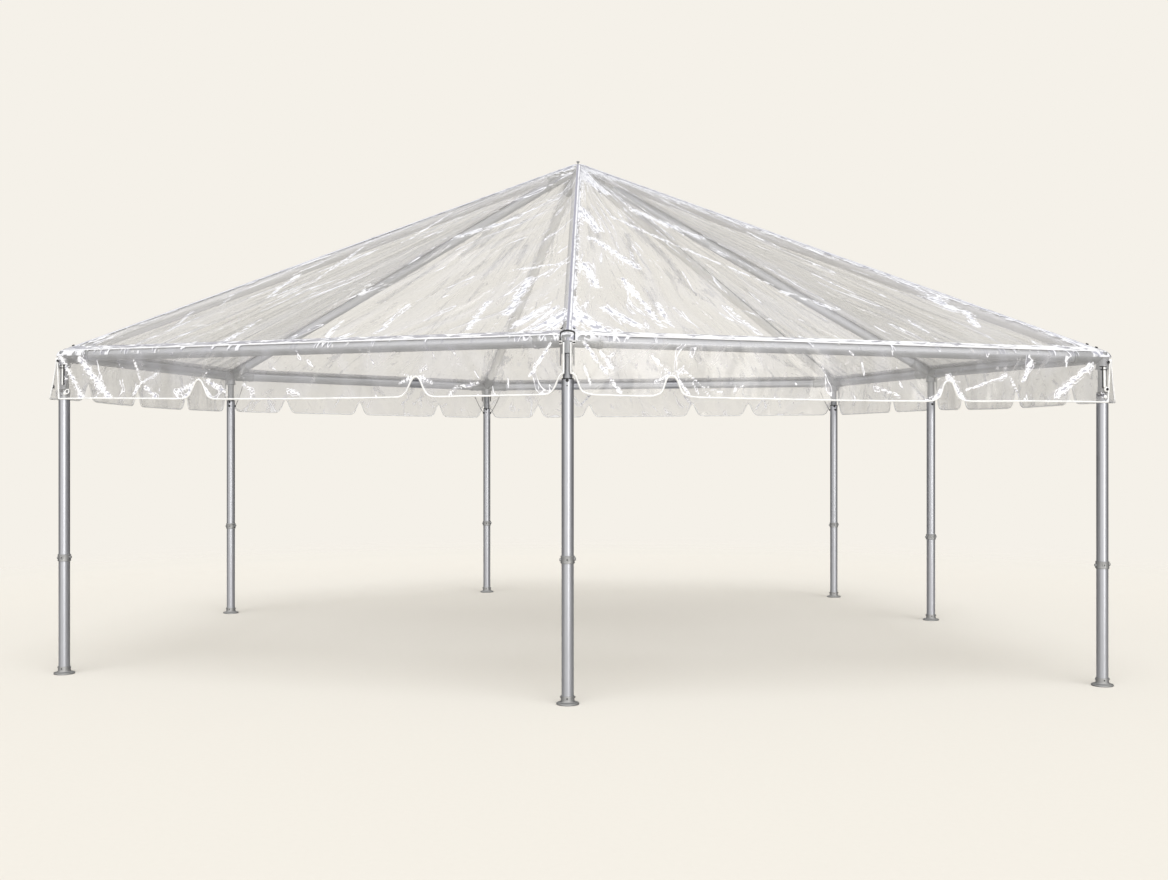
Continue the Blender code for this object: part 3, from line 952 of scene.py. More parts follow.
def near_strokes(x, y, strokes):
    """How close points are to any stroke, from 0 to 1: a bell of the distance to the nearest point
    of the stroke, as wide as the stroke."""
    strokes = np.array(strokes)
    first, last, width = strokes[:, 0:2], strokes[:, 2:4], strokes[:, 4]
    way = last - first
    length = np.sum(way**2, axis=1)
    best = np.zeros(np.shape(x))
    for k in range(len(strokes)):
        from_x, from_y = x - first[k, 0], y - first[k, 1]
        t = np.clip((from_x * way[k, 0] + from_y * way[k, 1]) / length[k], 0.0, 1.0)
        distance = np.hypot(from_x - t * way[k, 0], from_y - t * way[k, 1])
        best = np.maximum(best, bell(distance, width[k]))
    return best


chance = np.random.default_rng(11)


def chance_strokes(count, across, up, step_across, step_up, widths):
    """Strokes drawn from seeded numbers. Each argument is a range: of the first end across and up,
    of the steps from there to the last end, and of the widths."""
    begin = np.stack([chance.uniform(*across, count), chance.uniform(*up, count)], axis=1)
    step = np.stack([chance.uniform(*step_across, count), chance.uniform(*step_up, count)], axis=1)
    return np.concatenate([begin, begin + step, chance.uniform(*widths, (count, 1))], axis=1)


# Each row is the share of the side and of the climb at both ends, and the width in metres.
ROOF_CREASES_AND_GLINTS = {
    0: [
        (0.443, 0.553, 0.626, 0.65, 0.05), (0.874, 0.105, 0.889, 0.278, 0.045),
        (0.812, 0.043, 0.815, 0.17, 0.03), (0.902, 0.057, 0.947, 0.126, 0.04),
        (0.633, 0.043, 0.627, 0.167, 0.03), (0.185, 0.244, 0.109, 0.355, 0.03),
        (0.334, 0.012, 0.317, 0.102, 0.03), (0.544, 0.01, 0.515, 0.106, 0.03),
        (0.819, 0.33, 0.991, 0.348, 0.025), (1.0, 0.112, 0.951, 0.045, 0.03),
        (0.997, 0.072, 0.939, 0.033, 0.03), (0.998, 0.099, 0.972, 0.039, 0.04),
        (0.972, 0.124, 0.932, 0.046, 0.018), (0.081, 0.505, 0.207, 0.332, 0.014),
        (0.207, 0.332, 0.193, 0.234, 0.012), (0.086, 0.697, 0.209, 0.552, 0.012),
        (0.065, 0.181, 0.146, 0.078, 0.012), (0.055, 0.259, 0.112, 0.201, 0.012),
    ],
    1: [
        (0.417, 0.698, 0.584, 0.542, 0.05), (0.222, 0.644, 0.418, 0.487, 0.025),
        (0.106, 0.933, 0.332, 0.801, 0.04), (0.081, 0.494, 0.198, 0.345, 0.045),
        (0.137, 0.278, 0.177, 0.05, 0.04), (0.194, 0.16, 0.192, 0.051, 0.03),
        (0.034, 0.674, 0.117, 0.545, 0.05), (0.429, 0.476, 0.551, 0.283, 0.022),
        (0.546, 0.253, 0.607, 0.167, 0.035), (0.351, 0.158, 0.352, 0.029, 0.025),
        (0.071, 0.127, 0.133, 0.047, 0.05), (0.037, 0.344, 0.065, 0.227, 0.04),
        (0.005, 0.103, 0.064, 0.024, 0.06), (0.378, 0.141, 0.415, 0.099, 0.02),
        (0.936, 0.237, 0.901, 0.179, 0.06), (0.728, 0.122, 0.716, 0.068, 0.025),
        (0.925, 0.171, 0.859, 0.104, 0.04),
    ],
}
for k in range(2, COUNT):
    rows = chance_strokes(12, (0.05, 0.95), (0.02, 0.75), (-0.10, 0.10), (0.08, 0.18), (0.02, 0.05))
    ROOF_CREASES_AND_GLINTS[k] = rows

print("roof creases:", sum(len(rows) for rows in ROOF_CREASES_AND_GLINTS.values()))

# %% [markdown]
# Film over tube is taut along the rafters and eaves and slack between them. A cloth simulation
# could find that shape, but this film is pulled so tight that hardly anything moves, and a formula
# can put the wrinkles where they are. Each panel sinks a little in its middle, and long shallow
# wrinkles run from the eave to the peak. They are sums of ridges whose phase drifts along the
# slope, deepest in the open panel and gone at its edges.

# %% Shape of the cover
COLUMNS = (205, 205, 56, 56, 56, 56, 56)  # most on the two front panels, whose creases are finest
ROWS = 114
WRAP_ROWS = 7
SAG = 0.028
WRINKLE = 0.010
WAVES = (5.0, 8.0, 13.0, 21.0)  # of the wrinkles, in radians to a metre
SIDE_SHIFT = 6.0  # from each side's map to the next, so that no two sides share their noise


def closer_at_ends(count):
    """Shares from 0 up to but without 1, closer together near both ends."""
    even = np.arange(count) / count
    return 0.4 * even + 0.6 * (1 - np.cos(np.pi * even)) / 2


def ridges(across, up, seed, waves, drift):
    """Wrinkles as a sum of folded waves, 1 - |sin(phase)|, where the phase is the wave's number
    times across plus a slow wander, itself a sum of two sines of the way up."""
    numbers = np.random.default_rng(seed)
    total = np.zeros(np.broadcast(across, up).shape)
    for wave in waves:
        phase, first, second = numbers.uniform(0, 2 * np.pi, 3)
        wander = drift * (np.sin(2.1 * up + first) + 0.5 * np.sin(5.3 * up + second + 0.7 * across))
        fade = 0.5 + 0.5 * np.sin(1.3 * up + 0.18 * wave * across + second)
        total = total + fade * (1 - np.abs(np.sin(wave * across + wander + phase))) / len(waves)
    return total


u = np.concatenate([closer_at_ends(columns) for columns in COLUMNS])[None, :]
side = np.repeat(np.arange(COUNT), COLUMNS)[None, :]
wrap = np.linspace(-WRAP_RUN, 0.0, WRAP_ROWS, endpoint=False)[:, None] * np.ones_like(u)
slope = np.linspace(0.0, 1.0, ROWS)[:, None] ** 1.08 * SLOPE_LENGTH[side]
run = np.concatenate([wrap, slope])
climb = np.clip(run / SLOPE_LENGTH[side], 0.0, 1.0)
across = u * LENGTH[side] + SIDE_SHIFT * side
open_film = 4 * u * (1 - u)
edge_fade = np.clip(climb / 0.04, 0, 1) * np.clip((1 - climb) / 0.08, 0, 1)
sag = SAG * open_film * np.sin(np.pi * climb) ** 0.8
wrinkle = WRINKLE * open_film**0.6 * edge_fade * (ridges(across, 3.0 * climb, 5, WAVES, 1.3) - 0.3)
cover_points = cover_at(run, side, u) - (sag + wrinkle)[..., None] * NORMAL[side]
print("deepest point of the cover under its folds:", (sag + wrinkle).max().round(3), "m")

# %% [markdown]
# The finish wants to know where the film is white: at the hips, the eaves, the peak and along the
# strokes. That white is partly film that is gathered and hard and partly painted highlight. That
# could be a weight painted by hand. Here it is one number for each point of the grid, a sum of falls
# with the distance from each of them, and the mesh carries it as a mark.

# %% Where the cover is creased and painted with highlights
AFTER_WHITE = np.array((0.45, 0.72, 0.5, 0.6, 0.6, 0.6, 0.6))  # at each panel's first rafter
BEFORE_WHITE = np.array((0.15, 0.95, 0.6, 0.6, 0.6, 0.6, 0.4))  # at each panel's last rafter
FRONT_HIP_RELIEF = 0.50  # taken off on the panel before the front hip


def panel_metres(k, u, climb):
    """A place on a panel in metres along its rail and up its slope."""
    apex = np.dot(PEAK - HEADS[k], ALONG[k])
    return u * LENGTH[k] * (1 - climb) + climb * apex, climb * SLOPE_LENGTH[k]


from_first = u * LENGTH[side] * (1 - climb)
from_last = (1 - u) * LENGTH[side] * (1 - climb)
to_rafter = np.minimum(u, 1 - u) * LENGTH[side] * (1 - climb)
to_peak = (1 - climb) * SLOPE_LENGTH[side]
crease_and_glint = AFTER_WHITE[side] * bell(from_first, 0.055) + BEFORE_WHITE[side] * bell(from_last, 0.08)
crease_and_glint = crease_and_glint - FRONT_HIP_RELIEF * (side == 0) * bell(from_last, 0.06)
crease_and_glint = crease_and_glint + 0.30 * np.exp(-to_rafter / 0.30) + 0.35 * np.exp(-np.abs(run) / 0.10)
crease_and_glint = crease_and_glint + 0.85 * np.exp(-to_peak / 0.28) + 0.45 * np.exp(-np.hypot(to_rafter, run) / 0.20)
for k in range(COUNT):
    rows = np.array(ROOF_CREASES_AND_GLINTS[k])
    x, y = panel_metres(k, u * np.ones_like(climb), climb)
    x0, y0 = panel_metres(k, rows[:, 0], rows[:, 1])
    x1, y1 = panel_metres(k, rows[:, 2], rows[:, 3])
    crease = near_strokes(x, y, np.stack([x0, y0, x1, y1, rows[:, 4]], axis=1))
    crease_and_glint = crease_and_glint + 0.95 * np.where(side == k, crease, 0.0) * np.clip(run / 0.02, 0, 1)

print("share of the cover that is creased solid:", (crease_and_glint > 0.9).mean().round(3))

# %% [markdown]
# The map of the cover says where its noise runs. Straight up the slope would be simplest, but the
# film's long creases lean towards the hip that pulls on them, so the map leans with them, more and
# more towards each panel's last rafter.

# %% Roof cover
LEAN = np.array((2.3, 0.15, 0.3, -0.3, 0.3, -0.3, 0.3))  # of the wrinkles, near each last rafter

flow_u = across - LEAN[side] * climb * np.clip((u - 0.25) / 0.6, 0.0, 1.0)
seam_u = across[:, -1:] + 0.02
map_u = np.concatenate([flow_u, seam_u * np.ones((len(run), 1))], axis=1)
map_v = np.concatenate([run, run[:, :1]], axis=1)
cover_patch = grid(cover_points, np.stack([map_u, map_v], axis=-1), ring=True)
panel_nodes = [f"roof_panel_{name}" for name in SIDES]
cover_marks = {"crease_and_glint": np.clip(crease_and_glint, 0, 1)}
cover = make_piece("roof_cover", cover_patch, FILM, panel_nodes, sharp=None, marks=cover_marks)
print("cover:", len(cover.data.polygons), "faces")

# %% [markdown]
# The valance hangs straight down from the rail. It is cut in flat scallops with a narrow arched
# notch between them, it is slit at every leg, and it flares out a little at the two front corners.
# Its outline could be cut out of a flat sheet with another shape, but then the rows of the mesh
# wouldn't follow the edge. So one function says how low the edge is at any place along the side,
# and every row is a share of that.

# %% Outline of the valance
DROP = 0.335
NOTCH_HEIGHT = 0.132
NOTCH_WIDTH = 0.050
NOTCH_TOP = DROP - NOTCH_HEIGHT
FLAT_SHARE = (0.25, 0.60, 0.25, 0.0, 0.0, 0.0, 0.25)  # how flat the tops of each side's notches are
SLIT_SETBACK = 0.012
NOTCHES = (  # as shares of each side
    (0.30, 0.73), (0.18, 0.69), (0.17, 0.46, 0.80), (0.41,), (0.24, 0.40, 0.70, 0.85),
    (0.20, 0.52, 0.80), (0.30, 0.60, 0.86),
)
SQUARE_CORNERS = (0, 2)  # at these legs the valance ends in a square corner, not half a notch
CORNER_LIFT = 0.034
LEVEL_LENGTH = np.linalg.norm(SPANS[:, :2], axis=1)


def end_of_valance(leg):
    """How far inwards from a leg's axis a valance ends; at a square corner it reaches past it."""
    if leg not in SQUARE_CORNERS:
        return SLIT_SETBACK
    turn = np.arccos(np.dot(OUTWARD[leg - 1], OUTWARD[leg]))
    return 0.010 - FILM_REACH * np.tan(turn / 2)


def notch_middles(k):
    """Where a side's notches are, with a half notch at each slit."""
    middles = [share * LEVEL_LENGTH[k] for share in NOTCHES[k]]
    if k not in SQUARE_CORNERS:
        middles.append(SLIT_SETBACK)
    if (k + 1) % COUNT not in SQUARE_CORNERS:
        middles.append(LEVEL_LENGTH[k] - SLIT_SETBACK)
    return np.array(middles)


def square_ends(k, station):
    """Each end of a side that is a square corner: its leg, how far from it each station is, and
    which way along the side is inwards."""
    ends = ((k, station, 1), ((k + 1) % COUNT, LEVEL_LENGTH[k] - station, -1))
    return [end for end in ends if end[0] in SQUARE_CORNERS]


def edge_drop(k, station):
    """How far below the rail's axis the lower edge is. At each notch it rises by the notch's height
    times f exp(-(x / width)^4) + (1 - f) exp(-(x / wide)^2), where f is the side's flat share and
    wide grows with it, and a low bell curve of width 1.2 m lifts it at a square corner."""
    station = np.asarray(station, float)
    from_notch = np.abs(station[..., None] - notch_middles(k)).min(axis=-1)
    flat = FLAT_SHARE[k]
    flat_top = np.exp(-((from_notch / NOTCH_WIDTH) ** 4))
    round_top = bell(from_notch, (1.0 + 0.83 * flat) * NOTCH_WIDTH)
    lift = NOTCH_HEIGHT * (flat * flat_top + (1.0 - flat) * round_top)
    for _, from_leg, _ in square_ends(k, station):
        lift = lift + CORNER_LIFT * bell(from_leg, 1.2)
    return DROP - lift


print("notches:", sum(len(shares) for shares in NOTCHES))

# %% [markdown]
# A second function hangs any point of the valance in space. The film, its piping and all that is
# sewn to it ask it for their places, as those on the roof ask the cover's function. The waves grow
# towards the lower edge, because the upper one is held straight by the rail.

# %% A point of the valance
CORNER_FLARE = {(0, 0): 0.004, (0, 6): 0.055, (2, 1): 0.004, (2, 2): 0.030}  # by leg and side
CORNER_SLANT = {(0, 0): 0.024, (2, 1): 0.024}  # how far inwards the lower end of a flap is drawn
WAVE_SIZE = 0.0075


def hung(k, station, drop):
    """A point of a side's valance at a station along the side and a drop below the rail's axis. It
    stands off the rail by the film's reach and a sum of three sine waves that grows towards the
    lower edge, plus a flare that fades away from a square corner."""
    station, drop = np.broadcast_arrays(np.asarray(station, float), np.asarray(drop, float))
    depth = np.clip(drop / DROP, 0.0, 1.0)
    numbers = np.random.default_rng(40 + k).uniform(0, 2 * np.pi, 4)
    wave = np.sin(11.0 * station + numbers[0]) + 0.35 * np.sin(27.0 * station + numbers[1] + 2.0 * depth)
    wave = wave + 0.10 * np.sin(61.0 * station + numbers[2] + 4.0 * depth)
    from_legs = np.minimum(station, LEVEL_LENGTH[k] - station)
    room = np.clip((from_legs - 0.02) / 0.25, 0.0, 1.0)
    stand_off = WAVE_SIZE * (wave + 0.8) * depth**1.2 * room + 0.004 * depth
    for leg, from_leg, inwards in square_ends(k, station):
        stand_off = stand_off + CORNER_FLARE[leg, k] * depth**1.4 * bell(from_leg, 0.20)
        station = station + inwards * CORNER_SLANT.get((leg, k), 0.0) * depth * bell(from_leg, 0.12)
    on_axis = HEADS[k] + SPANS[k] * (station / LEVEL_LENGTH[k])[..., None]
    return on_axis + OUTWARD[k] * (FILM_REACH + stand_off)[..., None] - UP * drop[..., None]


print("lower corner of the first valance:", hung(0, 0.0, DROP).round(3))

# %% [markdown]
# Creases in the valance are strokes as on the roof, in metres along the side and down from the
# rail. As on the roof, their white is partly creasing and partly painted reflection of the lights on
# the wrinkles. On the sides that show from the front, each notch also sends out strokes of its own,
# because that is where the hanging film is cut and pulls on the rest.

# %% Creases and painted reflections of the valances
NOTCH_SIDES = (0, 1, 2, 6)  # whose notches get strokes
SHOULDER_ANGLES = np.array((-80.0, 50.0, 84.0))  # of the strokes from a notch, from straight up
SHOULDER_REACHES = np.array((0.090, 0.110, 0.085))
STEEP_FLANK = ((0.034, 0.016), (0.110, 0.050))  # aside and down from the notch's top, at both ends
LOW_FLANK = ((0.052, 0.050), (0.100, 0.112))

# Each row is the station and the drop at both ends and the width, all in metres.
VALANCE_CREASES_AND_GLINTS = {
    0: [
        (0.007, 0.015, 0.182, 0.288, 0.030), (0.166, 0.033, 0.413, 0.292, 0.036),
        (0.607, 0.044, 0.668, 0.203, 0.012), (0.668, 0.203, 0.806, 0.142, 0.012),
        (0.668, 0.203, 0.607, 0.282, 0.012), (0.696, 0.231, 0.792, 0.295, 0.020),
        (0.958, 0.270, 1.076, 0.225, 0.026), (1.192, 0.200, 1.331, 0.277, 0.026),
        (1.477, 0.233, 1.545, 0.281, 0.018), (1.793, 0.272, 1.889, 0.300, 0.018),
        (3.630, 0.020, 3.498, 0.216, 0.018), (2.993, 0.281, 3.150, 0.259, 0.016),
    ],
    1: [
        (0.096, 0.010, 0.317, 0.306, 0.018), (0.196, 0.066, 0.272, 0.164, 0.017),
        (0.527, 0.080, 0.588, 0.140, 0.020), (0.588, 0.140, 0.637, 0.184, 0.011),
        (0.692, 0.190, 0.707, 0.245, 0.006), (0.755, 0.187, 0.835, 0.250, 0.008),
        (0.783, 0.237, 0.825, 0.310, 0.008), (0.850, 0.263, 0.895, 0.318, 0.008),
        (0.880, 0.270, 0.985, 0.300, 0.009), (0.096, 0.156, 0.140, 0.279, 0.012),
        (3.524, 0.062, 3.278, 0.255, 0.034), (3.092, 0.048, 3.028, 0.181, 0.022),
        (2.942, 0.157, 2.999, 0.274, 0.014), (2.506, 0.155, 2.604, 0.297, 0.024),
        (2.632, 0.244, 2.914, 0.145, 0.014), (2.017, 0.246, 2.167, 0.294, 0.016),
    ],
}
for k in range(2, COUNT):
    along_side = (0.1, LEVEL_LENGTH[k] - 0.1)
    rows = chance_strokes(9, along_side, (0.03, 0.20), (-0.12, 0.12), (0.05, 0.13), (0.010, 0.024))
    VALANCE_CREASES_AND_GLINTS[k] = rows


def notch_creases_and_glints(k):
    """Creases at each whole notch of a side, whose white is partly painted highlight: three that leave
    its shoulders, two of them nearly level, and one on each flank, down along the notch or away from it."""
    rows = []
    top = NOTCH_TOP - 0.010
    for share in NOTCHES[k]:
        place = share * LEVEL_LENGTH[k]
        angles = np.radians(SHOULDER_ANGLES + chance.uniform(-7.0, 7.0, 3))
        reaches = SHOULDER_REACHES * chance.uniform(0.7, 1.2, 3)
        for aside, up, reach in zip(np.sin(angles), np.cos(angles), reaches):
            near_end = (place + 0.042 * aside, top - 0.028 * up)
            rows.append((*near_end, place + reach * aside, top - reach * up, 0.0058))
        for way in (-1, 1):
            first, last = STEEP_FLANK if chance.uniform() < 0.5 else LOW_FLANK
            ends = (place + way * first[0], top + first[1], place + way * last[0], top + last[1])
            rows.append((*ends, chance.uniform(0.010, 0.018)))
    return np.array(rows)


for k in NOTCH_SIDES:
    VALANCE_CREASES_AND_GLINTS[k] = np.concatenate([np.array(VALANCE_CREASES_AND_GLINTS[k]), notch_creases_and_glints(k)])

print("valance creases:", sum(len(rows) for rows in VALANCE_CREASES_AND_GLINTS.values()))

# %% [markdown]
# Wrinkles in the valance fan out from the top of every notch. Turning the noise at each notch by
# hand would take a finish for each, so the map does it: far from a notch it is plain metres, and
# near one it is laid out as a fan, whose first number grows with the angle round the notch and
# whose second grows with the distance from it.

# %% Valances
VALANCE_ROWS = 26
VALANCE_SHIFT = 50.0  # from the roof's map to the valances'


def stations_along(k):
    """Stations along a side: even ones, and close ones through each notch."""
    first, last = end_of_valance(k), LEVEL_LENGTH[k] - end_of_valance((k + 1) % COUNT)
    even = np.linspace(first, last, int(LEVEL_LENGTH[k] / 0.012))
    close = (notch_middles(k)[:, None] + np.linspace(-0.115, 0.115, 31)).ravel()
    close = close[(close > first) & (close < last)]
    both = np.sort(np.concatenate([even, close]))
    return both[np.concatenate([[True], np.diff(both) > 0.0015])]


def flow_map(k, station, drop):
    """The valance's map: (station, drop) far from a notch and (angle, distance) near one."""
    middles = notch_middles(k)
    nearest = middles[np.abs(station[..., None] - middles).argmin(axis=-1)]
    aside, below = station - nearest, drop - NOTCH_TOP
    distance = np.hypot(aside, below)
    near = bell(distance, 0.16)
    fan_u, fan_v = nearest + 0.12 * np.arctan2(aside, -below), 1.5 * distance
    plain_u, plain_v = station + 0.45 * drop * np.sin(1.7 * station + k), 1.5 * drop
    map_u = plain_u * (1 - near) + fan_u * near + VALANCE_SHIFT + SIDE_SHIFT * k
    return np.stack([map_u, plain_v * (1 - near) + fan_v * near], axis=-1)


for k, name in enumerate(SIDES):
    station = stations_along(k)[None, :]
    edge = edge_drop(k, station)
    drop = np.linspace(0.0, 1.0, VALANCE_ROWS)[:, None] * edge
    station = np.broadcast_to(station, drop.shape)
    aside = np.abs(station[..., None] - notch_middles(k)).min(axis=-1)
    # The white near each notch, under the rail and along the lower edge is partly creasing and partly painted
    # highlight.
    crease_and_glint = 0.22 * bell(np.hypot(aside, drop - NOTCH_TOP), 0.05) + 0.12 * np.exp(-drop / 0.03)
    crease_and_glint = crease_and_glint + 0.25 * bell(edge - drop, 0.03)
    crease_and_glint = crease_and_glint + 1.05 * near_strokes(station, drop, VALANCE_CREASES_AND_GLINTS[k])
    patch = flipped(grid(hung(k, station, drop), flow_map(k, station, drop)))
    marks = {"crease_and_glint": np.clip(crease_and_glint, 0.0, 1.1)}
    node = f"valance_{name}"
    make_piece(f"valance_film_{name}", patch, SKIRT_FILM, [node], None, marks)

# %% [markdown]
# White piping is sewn round the free edges of each valance. A bevelled curve would draw it too, but
# its ends would be open and its map couldn't be chosen, so it is a bead of rings along the edge:
# down the slit, along the scallops and up the next slit.

# %% Piping
PIPING_RADIUS = 0.0060
PIPING_TOP = 0.012  # where it starts below the rail's axis
PIPING_STEPS = 12  # up or down a slit


def skinned(path, rings, girth):
    """A closed skin over rings of points along a path, shrunk to a point at both ends."""
    sides = rings.shape[1]
    ends = [np.repeat(path[k][None, None], sides, axis=1) for k in (0, -1)]
    run = run_along(path)
    run = np.concatenate([run[:1], run, run[-1:]])
    uvs = np.stack(np.meshgrid(np.linspace(0.0, girth, sides + 1), run), axis=-1)
    return facing_out(grid(np.concatenate([ends[0], rings, ends[1]]), uvs, ring=True))


def swept(path, radius, side_way, sides=10):
    """A round bead along a path of points: each ring lies square to the path, with its first
    axis as near as possible to side_way."""
    tangent = unit(np.gradient(path, axis=0))
    first = unit(side_way - dots(side_way, tangent) * tangent)
    second = np.cross(tangent, first)
    angle = np.linspace(0.0, 2 * np.pi, sides, endpoint=False)[None, :, None]
    rings = path[:, None] + radius * (np.cos(angle) * first[:, None] + np.sin(angle) * second[:, None])
    return skinned(path, rings, 2 * np.pi * radius)


SKIRT_EXTRAS = [[] for _ in SIDES]  # what is sewn to each valance
for k, name in enumerate(SIDES):
    station = stations_along(k)
    drop = edge_drop(k, station)
    down = np.linspace(PIPING_TOP, drop[0], PIPING_STEPS, endpoint=False)
    up_again = np.linspace(drop[-1], PIPING_TOP, PIPING_STEPS)[1:]
    slits = np.full(PIPING_STEPS, station[0]), np.full(PIPING_STEPS - 1, station[-1])
    path_station = np.concatenate([slits[0], station, slits[1]])
    path = hung(k, path_station, np.concatenate([down, drop, up_again]))
    bead = swept(path, PIPING_RADIUS, OUTWARD[k])
    SKIRT_EXTRAS[k].append(make_piece(f"piping_{name}", bead, WELT, sharp=None))

print("piping:", COUNT, "beads")

# %% [markdown]
# The panels are joined over the rafters with a welded tape, a flat strip that lies a millimetre or
# two proud of the film. It could be a band of another colour in the cover's own finish, but the
# real one has a thickness, and its edges catch the light.

# %% Seam tapes
TAPE_HALF = 0.0240
TAPE_ROWS = 60
TAPE_ACROSS = np.array((-1.0, -0.7, -0.25, 0.25, 0.7, 1.0)) * TAPE_HALF
TAPE_LIFT = np.array((0.0006, 0.0016, 0.0018, 0.0018, 0.0016, 0.0006))
TAPE_UNDER = 0.0002
NEAREST_HIP = 1


def strip(outer, inner, uvs):
    """A thin closed strip from its outer and its inner rows of points, each (rows, columns, 3)."""
    return facing_out(grid(np.concatenate([outer, inner[::-1]]), uvs, loop=True))


def into_panel(leg, side, towards):
    """The direction on a side's panel that is square to the rafter of a leg."""
    way = unit(np.cross(RAFTER[leg], NORMAL[side]))
    return way * np.sign(np.dot(way, towards))


for k, name in enumerate(LEGS):
    fold = (FOLD_TOP - FOLD_FOOT)[k]
    along_fold = np.linspace(0.0, 1.0, TAPE_ROWS)[:, None] * fold + FOLD_FOOT[k] + HEADS[k]
    reach = TAPE_ACROSS.copy()
    if k == NEAREST_HIP:
        reach[:3] *= 0.42  # this tape lies mostly on the panel after it
    on_after = reach[:, None] * into_panel(k, k, ALONG[k])
    on_before = -reach[:, None] * into_panel(k, k - 1, -ALONG[k - 1])
    flat = np.where(reach[:, None] < 0, on_before, on_after)[:, None] + along_fold
    outer = flat + (TAPE_LIFT[:, None] * OVER_FOLD[k])[:, None]
    inner = flat + TAPE_UNDER * OVER_FOLD[k]
    length = np.linspace(0.0, np.linalg.norm(fold), TAPE_ROWS)
    uvs = np.stack(np.meshgrid(length, np.concatenate([reach, reach[::-1], reach[:1]])), axis=-1)[..., ::-1]
    make_piece(f"seam_tape_{name}", strip(outer, inner, uvs), TAPE, sharp=None)

print("seam tapes:", COUNT)

# %% [markdown]
# The eave hem is the cover's edge, turned over a rope and welded. It is a white band over the rail,
# closed round the whole tent. Seven separate bands would be simpler, but their ends would show at
# the legs, so it is one ring that asks the cover for its places and lies a hair above it.

# %% Eave hem
HEM_RUNS = np.linspace(-0.002, 0.068, 13)
# How white the hem's creases are on each side, partly creasing and partly painted highlight.
HEM_WHITE = np.array((0.25, 0.75, 0.50, 0.40, 0.40, 0.40, 0.40))  # how creased it is on each side
HEM_COLUMNS = 40  # to a side
HEM_UNDER = 0.0003

hem_u = np.tile(closer_at_ends(HEM_COLUMNS), COUNT)[None, :]
hem_side = np.repeat(np.arange(COUNT), HEM_COLUMNS)[None, :]
hem_points = cover_at(HEM_RUNS[:, None] * np.ones_like(hem_u), hem_side, hem_u)
hem_out = unit(OUTWARD[hem_side] + NORMAL[hem_side])
hem_bulge = 0.0012 + 0.0016 * np.sin(np.pi * np.linspace(0.0, 1.0, len(HEM_RUNS))) ** 0.5
outer = hem_points + hem_bulge[:, None, None] * hem_out
inner = hem_points + HEM_UNDER * hem_out
place_round = hem_u * LENGTH[hem_side] + SIDE_SHIFT * hem_side
place_round = np.concatenate([place_round, [[SIDE_SHIFT * COUNT]]], axis=1)
place_across = np.concatenate([HEM_RUNS, HEM_RUNS[::-1], HEM_RUNS[:1]])[:, None]
hem_map = np.stack(np.broadcast_arrays(place_across, place_round), axis=-1)
hem = facing_out(grid(np.concatenate([outer, inner[::-1]]), hem_map, ring=True, loop=True))
hem_marks = {"crease_and_glint": np.broadcast_to(HEM_WHITE[hem_side], (2 * len(HEM_RUNS), hem_side.size))}
make_piece("eave_hem", hem, HEM_FILM, sharp=None, marks=hem_marks)
print("hem:", len(hem.quads), "faces")

# %% [markdown]
# Rubber and webbing are near black with a dull sheen, and the webbing shows its ribs. Modelled ribs
# would cost thousands of faces on a strap a hand long, so a sine wave along its map bumps them.

# %% Rubber and webbing


def dull_black(name, tone, ribs):
    """Rubber or webbing: near black and dusty, with ribs across where ribs is above nothing."""
    material, shader = new_material(name)
    across, along = shader.surface_place()
    dust = shader.noise(across * 180.0, along * 180.0, detail=3.0)
    rows = (along * 1900.0).sine()
    lighter = [min(1.0, value * 2.2 + 0.01) for value in tone]
    colour = shader.blend(dust.step(0.35, 0.75), tone, lighter)
    normal = shader.bump(0.0002 * dust + ribs * 0.0003 * rows)
    shader.end(shader.principled(colour, 0.45 + 0.25 * dust, normal))
    return material


RUBBER = dull_black("black_rubber", (0.012, 0.012, 0.014), 0.0)
WEBBING = dull_black("grey_webbing", (0.085, 0.085, 0.095), 1.0)
print("black finishes:", RUBBER.name, WEBBING.name)

# %% [markdown]
# Bolt heads, buttons and rings are the same few turned shapes over and over. Blender has a cylinder
# and a torus to start from, but these have a bevelled edge and lie where a formula puts them, with
# no object to turn and move. A bolt's head is a button with six sides.

# %% Buttons and rings
FRONT = np.array((0.0, -1.0, 0.0))
RIGHT = np.array((1.0, 0.0, 0.0))
BOLT_RADIUS = 0.0070
BOLT_HEIGHT = 0.0055
RING_SIDES = 12  # round the thickness of a ring


def button(place, direction, radius, height, sides=20):
    """A low round head: a turned step with a bevelled edge."""
    edge = 0.3 * min(radius, height)
    profile = [(0.0, 0.0), (radius, 0.0), (radius, height - edge), (radius - edge, height), (0.0, height)]
    return turned(profile, place, direction, sides=sides)


def bolt_head(place, direction, radius=BOLT_RADIUS, height=BOLT_HEIGHT):
    """A bolt's head with six sides."""
    return button(place, direction, radius, height, 6)


def ring(place, direction, radius, thickness, sides=28):
    """A round ring: place + (radius + t cos b) * (cos a, sin a) + t sin b * direction."""
    first, second = axes_across(unit(np.asarray(direction, float)))
    a = np.linspace(0.0, 2 * np.pi, sides, endpoint=False)[:, None, None]
    b = np.linspace(0.0, 2 * np.pi, RING_SIDES, endpoint=False)[None, :, None]
    from_middle = radius + thickness * np.cos(b)
    points = place + from_middle * (np.cos(a) * first + np.sin(a) * second)
    points = points + thickness * np.sin(b) * unit(direction)
    rows = np.linspace(0.0, 2 * np.pi * radius, sides + 1)
    columns = np.linspace(0.0, 2 * np.pi * thickness, RING_SIDES + 1)
    uvs = np.stack(np.meshgrid(columns, rows), axis=-1)
    return facing_out(grid(points, uvs, ring=True, loop=True))


print("a bolt's head has", len(bolt_head(np.zeros(3), UP).quads), "faces")

